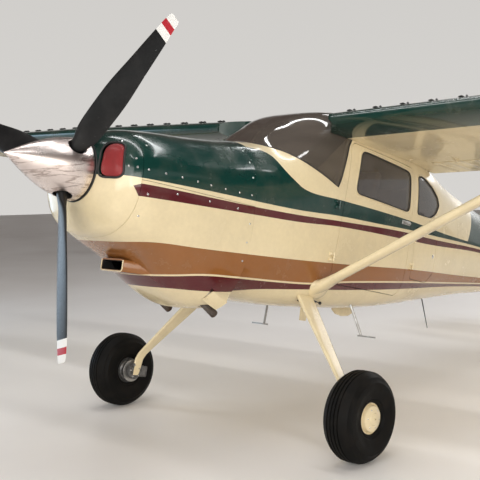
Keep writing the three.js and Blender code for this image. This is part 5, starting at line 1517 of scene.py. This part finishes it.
def wing_top(x, place):
    """A place on the wing's upper skin."""
    centre, half = hinge_at(x, place)
    return centre + Vector((0, 0, half))


def wing_under(x, place):
    """A place on the wing's lower skin."""
    centre, half = hinge_at(x, place)
    return centre - Vector((0, 0, half))


vane = side_slab([(-24, -3), (24, -3), (24, 12), (0, 14), (-22, 4)], -1.6, 1.6)
vanes = []
for k in range(VANES["pairs"]):
    for side in (-1, 1):
        spot = wing_top(VANES["first"] + VANES["pitch"] * k + side * VANES["apart"], VANES["chord_share"])
        turned = vane.copy()
        turned.transform(Matrix.Translation(spot) @ Matrix.Rotation(side * VANES["toe"], 4, "Z"))
        vanes.append(turned)
keep_pair("vortex_vanes", merged(*vanes), black_trim)
x, y, z = wing_top(*FUEL_CAP)
caps = merged(studs([((x, y, z), (0, 0, 1))], 44, 7, 40), block(x - 4, x + 4, y - 30, y + 30, z + 4, z + 11, 2))
keep_pair("fuel_cap", caps, bright_steel)
brackets = []
for surface, places in BRACKETS.items():
    for x in places:
        y, z = wing_under(x, SURFACES[surface][2]).yz
        profile = [(y - 170, z + 4), (y - 50, z + 4), (y - 54, z - 20), (y - 74, z - 26), (y - 150, z - 6)]
        brackets.append(side_slab(profile, x - 7, x + 7, 6))
keep_pair("surface_brackets", merged(*brackets), cream_smooth)
ring_spot = wing_under(*TIE_DOWN)
ring = [ring_spot + Vector((0, TIE_DOWN_RADIUS * math.cos(a), TIE_DOWN_RADIUS * math.sin(a) - 14))
        for a in (k * math.pi / 10 for k in range(20))]
keep_pair("tie_down_ring", tube(ring, 4, True, 3), steel)
tip_spot = wing_place(TIP_LAMP["out"], TIP_LAMP["station"], TIP_LAMP["rise"])
for side, finish, sign in (("left", red_lens, 1), ("right", green_lens, -1)):
    lamp = lathe([(0, -46), (7, -45), (14, -38), (19, -20), (20, 0), (17, 26), (10, 44), (0, 50)],
                 (sign * tip_spot.x, tip_spot.y, tip_spot.z), "y", 32)
    keep(f"tip_lamp_{side}", lamp, finish, "airframe")
tail_lamp = lathe([(0, 6296), (17, 6298), (20, 6306), (16, 6318), (8, 6324), (0, 6325)], (0, 0, 130), "y", 32)
keep("tail_lamp", tail_lamp, clear_lens, "rudder_body")
mast = wing_under(*PITOT_MAST)
pitot = tube([mast + Vector((0, *p)) for p in ((10, 10), (4, -30), (-8, -62), (-26, -80), (-60, -84), (-190, -84))],
             7, False, 4)
keep("pitot_tube", pitot, steel, "airframe")
for side, x in (("left", WHIP["out"]), ("right", -WHIP["out"])):
    base, out = on_top(WHIP["station"], x)
    whip = merged(rod(base - out * 4, base + out * 14, 14, 8, 24),
                  rod(base + out * 8, base + out * 30 + WHIP["rake"], 3.6, 1.4, 12))
    keep(f"roof_whip_{side}", whip, black_trim, "airframe")

bar = tube([(454, 594, -584), (470, 598, -562), (482, 612, -556), (484, 650, -558), (474, 770, -572)], 6.5, False, 3)
knob = lathe([(0, -11), (7, -10), (11, -4), (11, 4), (7, 10), (0, 11)], (462, 828, -577), "y", 24)
keep_pair("leg_root_bar", merged(bar, knob, rod((470, 770, -571), (463, 822, -577), 3, None, 12)), black_trim)
hose = [(438, 762, -516), (470, 728, -556), *[(x + 4, y + width / 2 + 3, z) for x, y, z, width, _ in LEG_ROWS[1:7]],
        (1016, 540, -1190)]
keep_pair("brake_hose", tube([Vector(p) for p in hose], 4, False, 3), black_trim)


# Cuff rows: distance along the strut, half length and half height.
CUFF_ROWS = [(-60, 108, 70), (20, 116, 76), (46, 114, 72), (70, 104, 60), (92, 90, 44), (116, 78, 32), (150, 70, 26)]
CUFF_OFFSET = Vector((0, 38, 30))


def strut_cuff():
    """The swollen fairing round the strut's foot, drawn out along the strut."""
    axis = strut_axis().normalized()
    rings = []
    for reach, length, height in CUFF_ROWS:
        middle = STRUT["low"] + CUFF_OFFSET * max(0.0, 1 - reach / CUFF_ROWS[-1][0]) + axis * reach
        rings.append([middle + Vector((0, length * math.cos(a), height * math.sin(a)))
                      for a in (2 * math.pi * k / 40 for k in range(40))])
    return loft(rings)


keep_pair("strut_cuff", cut(strut_cuff(), root_fit.copy()), cream_smooth)

# ---------------------------------------------------------------- floor
set_light()
set_camera()


def lay_floor():
    """A pale floor under the aircraft, for the pictures only."""
    shape = bmesh.new()
    bmesh.ops.create_grid(shape, x_segments=1, y_segments=1, size=60)
    floor = bpy.data.objects.new("floor", as_mesh(shape))
    scene.collection.objects.link(floor)
    finish = Finish("pale_floor", Specular_IOR_Level=0.4)
    stain = finish.noise(0.5, 5.0)
    colour = finish.mix(finish.span(stain, 0.35, 0.75), (0.9, 0.875, 0.845, 1), (0.86, 0.83, 0.8, 1))
    floor.data.materials[0] = finish.done(colour, finish.span(stain, 0.3, 0.8, 0.36, 0.5))


lay_floor()

CAD_FINISHES = {
    "propeller_hub": steel, "engine": iron, "firewall": steel, "cabin_floor": carpet, "instrument_panel": dark_plastic,
    "entry_step_left": steel, "entry_step_right": steel, "belly_aerial": black_trim, "belly_fin": cream_smooth,
    "belly_plate": cream_smooth,
}
for node, finish in CAD_FINISHES.items():
    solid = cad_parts[node]
    for place in solid.material_slots:
        place.material = finish
